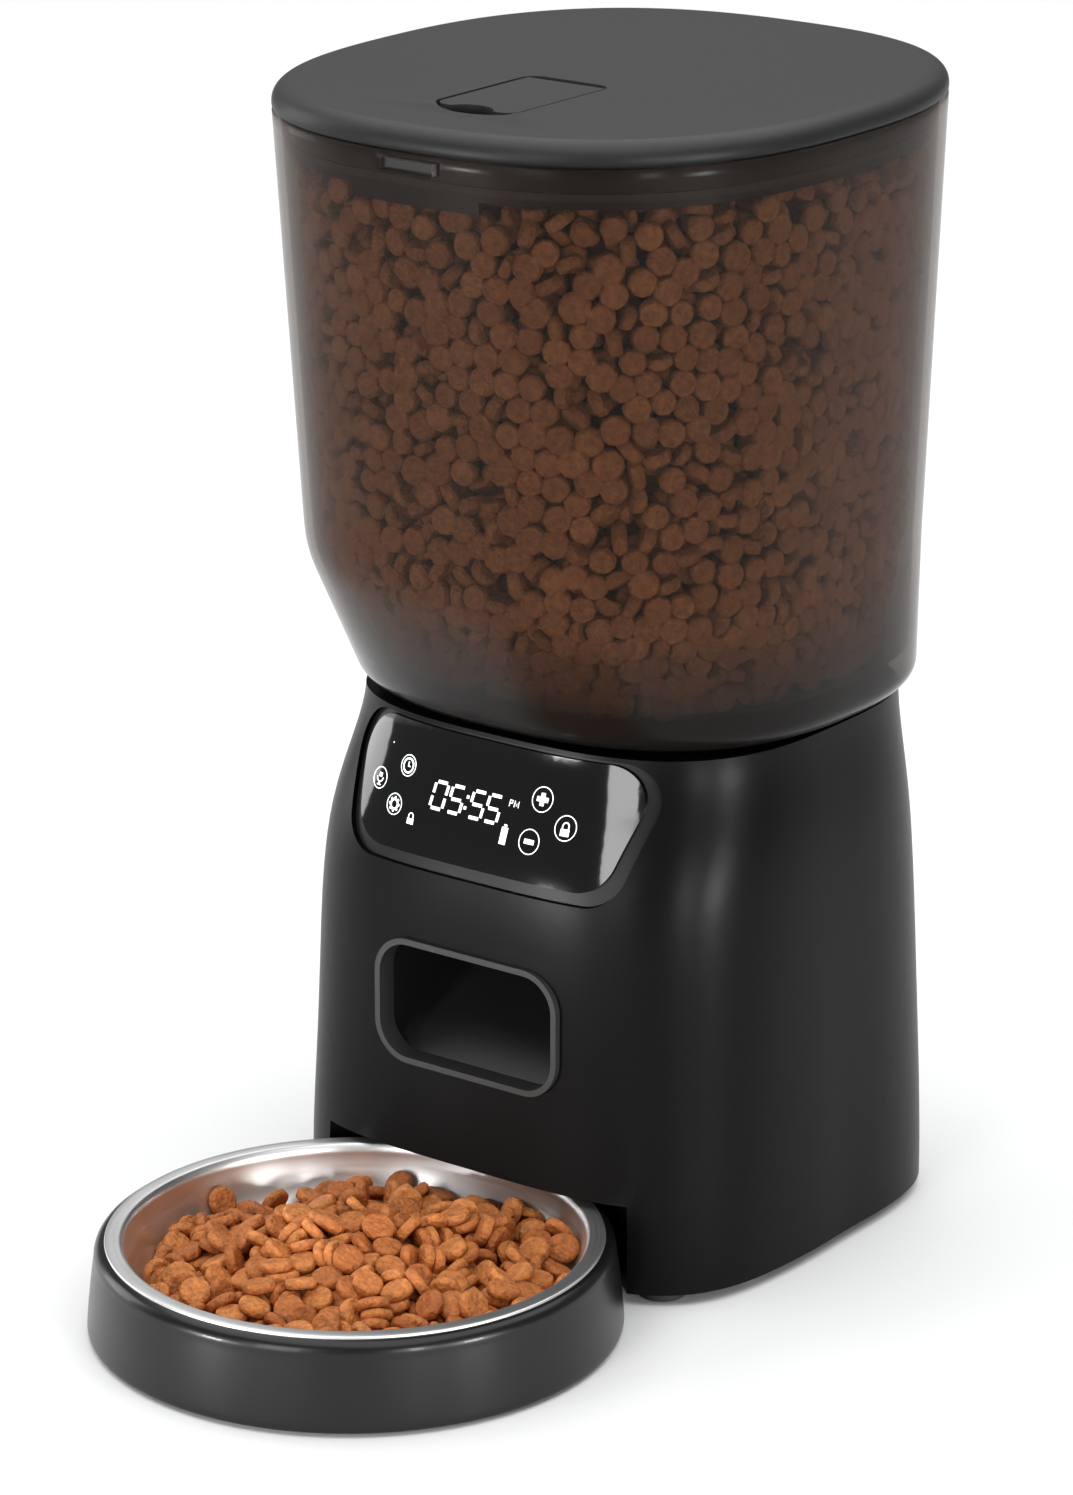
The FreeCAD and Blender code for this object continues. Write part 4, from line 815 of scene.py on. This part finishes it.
def wallPlaces(inset, spots, width, low, high):
    # each spot (distance round, height) becomes a place and an outward direction on the tank's wall;
    # below the crease the food draws in along the funnel
    levels = np.linspace(low, high, 40)
    sink = np.clip(tankForm["crease"] - levels, 0, None) * 0.16
    rings = np.stack([tankRing(z, inset + d, 256) for z, d in zip(levels, sink)])
    row = (spots[:, 1] / (high - low) * 39).clip(0, 38.999)
    column = spots[:, 0] / width * 256
    r0, c0 = row.astype(int), column.astype(int) % 256
    rf, cf = (row - r0)[:, None], (column - column.astype(int))[:, None]
    c1 = (c0 + 1) % 256
    lower = rings[r0, c0] * (1 - cf) + rings[r0, c1] * cf
    upper = rings[r0 + 1, c0] * (1 - cf) + rings[r0 + 1, c1] * cf
    along = rings[r0, c1] - rings[r0, c0]
    outward = np.column_stack([along[:, 1], -along[:, 0], np.zeros(len(along))])
    outward /= np.linalg.norm(outward, axis=1, keepdims=True)
    return np.column_stack([lower * (1 - rf) + upper * rf, low + spots[:, 1]]), outward


def foodLayer(depth, flatShare):
    # pieces at one depth behind the wall: most lie flat against it, the rest stand on edge between them
    form = fillForm
    high = form["top"] - form["bottom"]
    spots = spread(form["around"], high, form["spacing"], form["rounds"])
    inset = tankForm["wall"] + depth
    places, outward = wallPlaces(inset, spots, form["around"], form["bottom"], form["top"])
    flat = (dice.random(len(spots)) < flatShare)[:, None]
    side = np.cross(outward, dice.normal(0, 1, (len(spots), 3)))
    side /= np.linalg.norm(side, axis=1, keepdims=True)
    lie = outward + dice.normal(0, 0.13, (len(spots), 3))
    stand = side + outward * dice.normal(0, 0.25, (len(spots), 1))
    return places - outward * np.where(flat, 0, 1.5 * mm), np.where(flat, lie, stand)


def foodTop():
    # loose top layer inside the rim
    form = fillForm
    ring = tankRing(form["top"], 10 * mm, 64)
    middle, reach = (ring.max(0) + ring.min(0)) / 2, (ring.max(0) - ring.min(0)) / 2
    spots = spread(2 * reach[0], 2 * reach[1], form["spacing"], form["rounds"]) - reach
    inside = (np.abs(spots / reach) ** 2.5).sum(1) < 0.96
    spots = spots[inside] + middle
    level = form["top"] - 2 * mm + dice.normal(0, 1.4 * mm, len(spots))
    return np.column_stack([spots, level]), np.array([0, 0, 1.0]) + dice.normal(0, 0.4, (len(spots), 3))


def foodCore():
    # the mass behind the loose pieces, drawn in below the crease and closed down to the neck
    form = fillForm
    levels = np.linspace(form["bottom"] - 2 * mm, form["top"] - 5 * mm, 30)
    sink = np.clip(tankForm["crease"] - levels, 0, None) * 0.16
    rows = [atLevel(tankRing(z, 15 * mm + d, 96), z) for z, d in zip(levels, sink)]
    crown = rows[-1].mean(0)
    rows += [crown + (rows[29] - crown) * s for s in np.linspace(0.9, 0.02, 6)]
    radius = tankForm["neck"] - tankForm["neckWall"] - 5 * mm
    mouth = ovalRing(radius, rotorAt[1] - radius, rotorAt[1] + radius, 2, 96)
    plug = [atLevel(mouth, tankForm["floor"] - 12 * mm), atLevel(mouth, tankForm["floor"] + 6 * mm)]
    tip = plug[0].mean(0)
    rows = [tip + (plug[0] - tip) * 0.02] + plug + rows
    # painted shade: the core is coloured far darker than the loose food, for the shade deep in the pile
    addPiece("foodTankCore", np.concatenate(rows), ringFaces(len(rows), 96),
             kibbleSkin("foodCore", (0.07, 0.03, 0.012), (0.11, 0.05, 0.02)), "tank")


def makeTankFood():
    form = fillForm
    layers = [foodLayer(form["gap"], form["flatShare"]),
              foodLayer(form["gap"] + form["behind"], form["flatShareBehind"]), foodTop()]
    centers, normals = [np.concatenate(part) for part in zip(*layers)]
    # nothing where the bolt draws back
    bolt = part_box("latch_bolt")
    clear = ((np.abs(centers[:, 0]) > bolt[1].x + 7 * mm) | (centers[:, 1] > bolt[1].y + 14 * mm)
             | (centers[:, 2] < bolt[0].z - 7 * mm))
    centers, normals = centers[clear], normals[clear]
    sizes = np.tile([kibbleForm["radius"], kibbleForm["radius"], kibbleForm["thick"]], (len(centers), 1))
    sizes *= 1 + dice.normal(0, 0.06, (len(centers), 1))
    turns = turnsTo(normals, dice.random(len(centers)) * 6.28)
    front, right = centers[:, 1] < 0.05, centers[:, 0] > 0
    for name, chosen in (("foodTankFrontLeft", front & ~right), ("foodTankFrontRight", front & right),
                         ("foodTankRear", ~front)):
        pileOf(name, centers[chosen], turns[chosen], sizes[chosen], tankFood, "tank", 10)
    foodCore()
    print("tank holds", len(centers), "loose pieces")


makeTankFood()
print("tank food made")

# food in the bowl, dropped and left to settle

heapForm = {"count": 440, "frames": 90, "column": 34 * mm, "layer": 20, "rise": 15 * mm, "foot": 46 * mm,
            "radius": 5.4 * mm, "thick": 1.75 * mm}


def moundProfile():
    # the food under the loose pieces: height falls with the square of the distance out
    form = heapForm
    low = bowlForm["bottom"] + bowlForm["sheet"] + 0.3 * mm
    top = [(r * form["foot"], low + 2 * mm + form["rise"] * (1 - r ** 2))
           for r in np.linspace(0.004, 1, 16)]
    return top + [(form["foot"] - 2 * mm, low), (0.004 * form["foot"], low)]


def settleHeap():
    form = heapForm
    shape, walls, caps = kibbleShape(8)
    mesh = bpy.data.meshes.new("drop")
    size = np.array([form["radius"], form["radius"], form["thick"]])
    mesh.from_pydata((shape * size * 10).tolist(), [], walls.tolist() + caps.tolist())
    bpy.ops.rigidbody.world_add()
    rigid = scene.rigidbody_world
    rigid.substeps_per_frame = 8
    rigid.solver_iterations = 12
    made = []

    def addBody(data, kind, shapeKind):
        thing = bpy.data.objects.new(data.name, data)
        scene.collection.objects.link(thing)
        made.append(thing)
        bpy.context.view_layer.objects.active = thing
        bpy.ops.rigidbody.object_add(type=kind)
        thing.rigid_body.collision_shape = shapeKind
        thing.rigid_body.friction = 1.6
        thing.rigid_body.restitution = 0.02
        thing.rigid_body.use_margin = True
        thing.rigid_body.collision_margin = 0.0
        return thing

    for name, profile in (("dish", bowlProfile()), ("mound", moundProfile())):
        rows = lathe([(r * 10, z * 10) for r, z in profile], 48, 0, 0).reshape(-1, 3)
        still = bpy.data.meshes.new(name)
        still.from_pydata(rows.tolist(), [], ringFaces(len(profile), 48, True).tolist())
        addBody(still, "PASSIVE", "MESH")
    drops = []
    for number in range(form["count"]):
        layer, place = divmod(number, form["layer"])
        angle = place * 2.39996 + layer
        radius = form["column"] * 10 * math.sqrt((place + 0.5) / form["layer"])
        drop = addBody(mesh, "ACTIVE", "CONVEX_HULL")
        drop.location = (radius * math.cos(angle), radius * math.sin(angle), 0.62 + layer * 0.11)
        drop.rotation_euler = dice.random(3) * 6.28
        drop.rigid_body.linear_damping = 0.3
        drop.rigid_body.angular_damping = 0.85
        drops.append(drop)
    rigid.point_cache.frame_end = form["frames"]
    for frameNumber in range(1, form["frames"] + 1):
        scene.frame_set(frameNumber)
    depsgraph = bpy.context.evaluated_depsgraph_get()
    places = np.array([drop.evaluated_get(depsgraph).matrix_world for drop in drops])
    bpy.ops.rigidbody.world_remove()
    for thing in made:
        bpy.data.objects.remove(thing)
    scene.frame_set(1)
    turns = places[:, :3, :3]
    centers = places[:, :3, 3] / 10
    kept = (np.hypot(centers[:, 0], centers[:, 1]) < bowlForm["radius"] - 8 * mm) & (centers[:, 2] > 0)
    return centers[kept], turns[kept]


def makeBowlFood():
    centers, turns = settleHeap()
    centers = centers + [0, bowlForm["y"], 0]
    sizes = np.tile([heapForm["radius"], heapForm["radius"], heapForm["thick"]], (len(centers), 1))
    sizes *= 1 + np.random.default_rng(3).normal(0, 0.04, (len(centers), 3)) * [1, 1, 0.6]
    pileOf("foodBowl", centers, turns, sizes, bowlFood, "tray", 14)
    # painted shade: the mound under the loose pieces is coloured far darker than the food on it
    solidOfTurn("foodBowlCore", moundProfile()[::-1], 64, bowlForm["y"], kibbleSkin(
        "foodMound", (0.20, 0.07, 0.02), (0.26, 0.09, 0.03)), "tray", [])
    print("heap of", len(centers), "pieces, top at", round(centers[:, 2].max(), 4))


makeBowlFood()
print("bowl food made")

# floor

floorMesh = bpy.data.meshes.new("floor")
floorMesh.from_pydata([(-9, -6, 0), (9, -6, 0), (9, 12, 0), (-9, 12, 0)], [], [(0, 1, 2, 3)])
floorMesh.materials.append(plainFloor())
floor = bpy.data.objects.new("floor", floorMesh)
scene.collection.objects.link(floor)
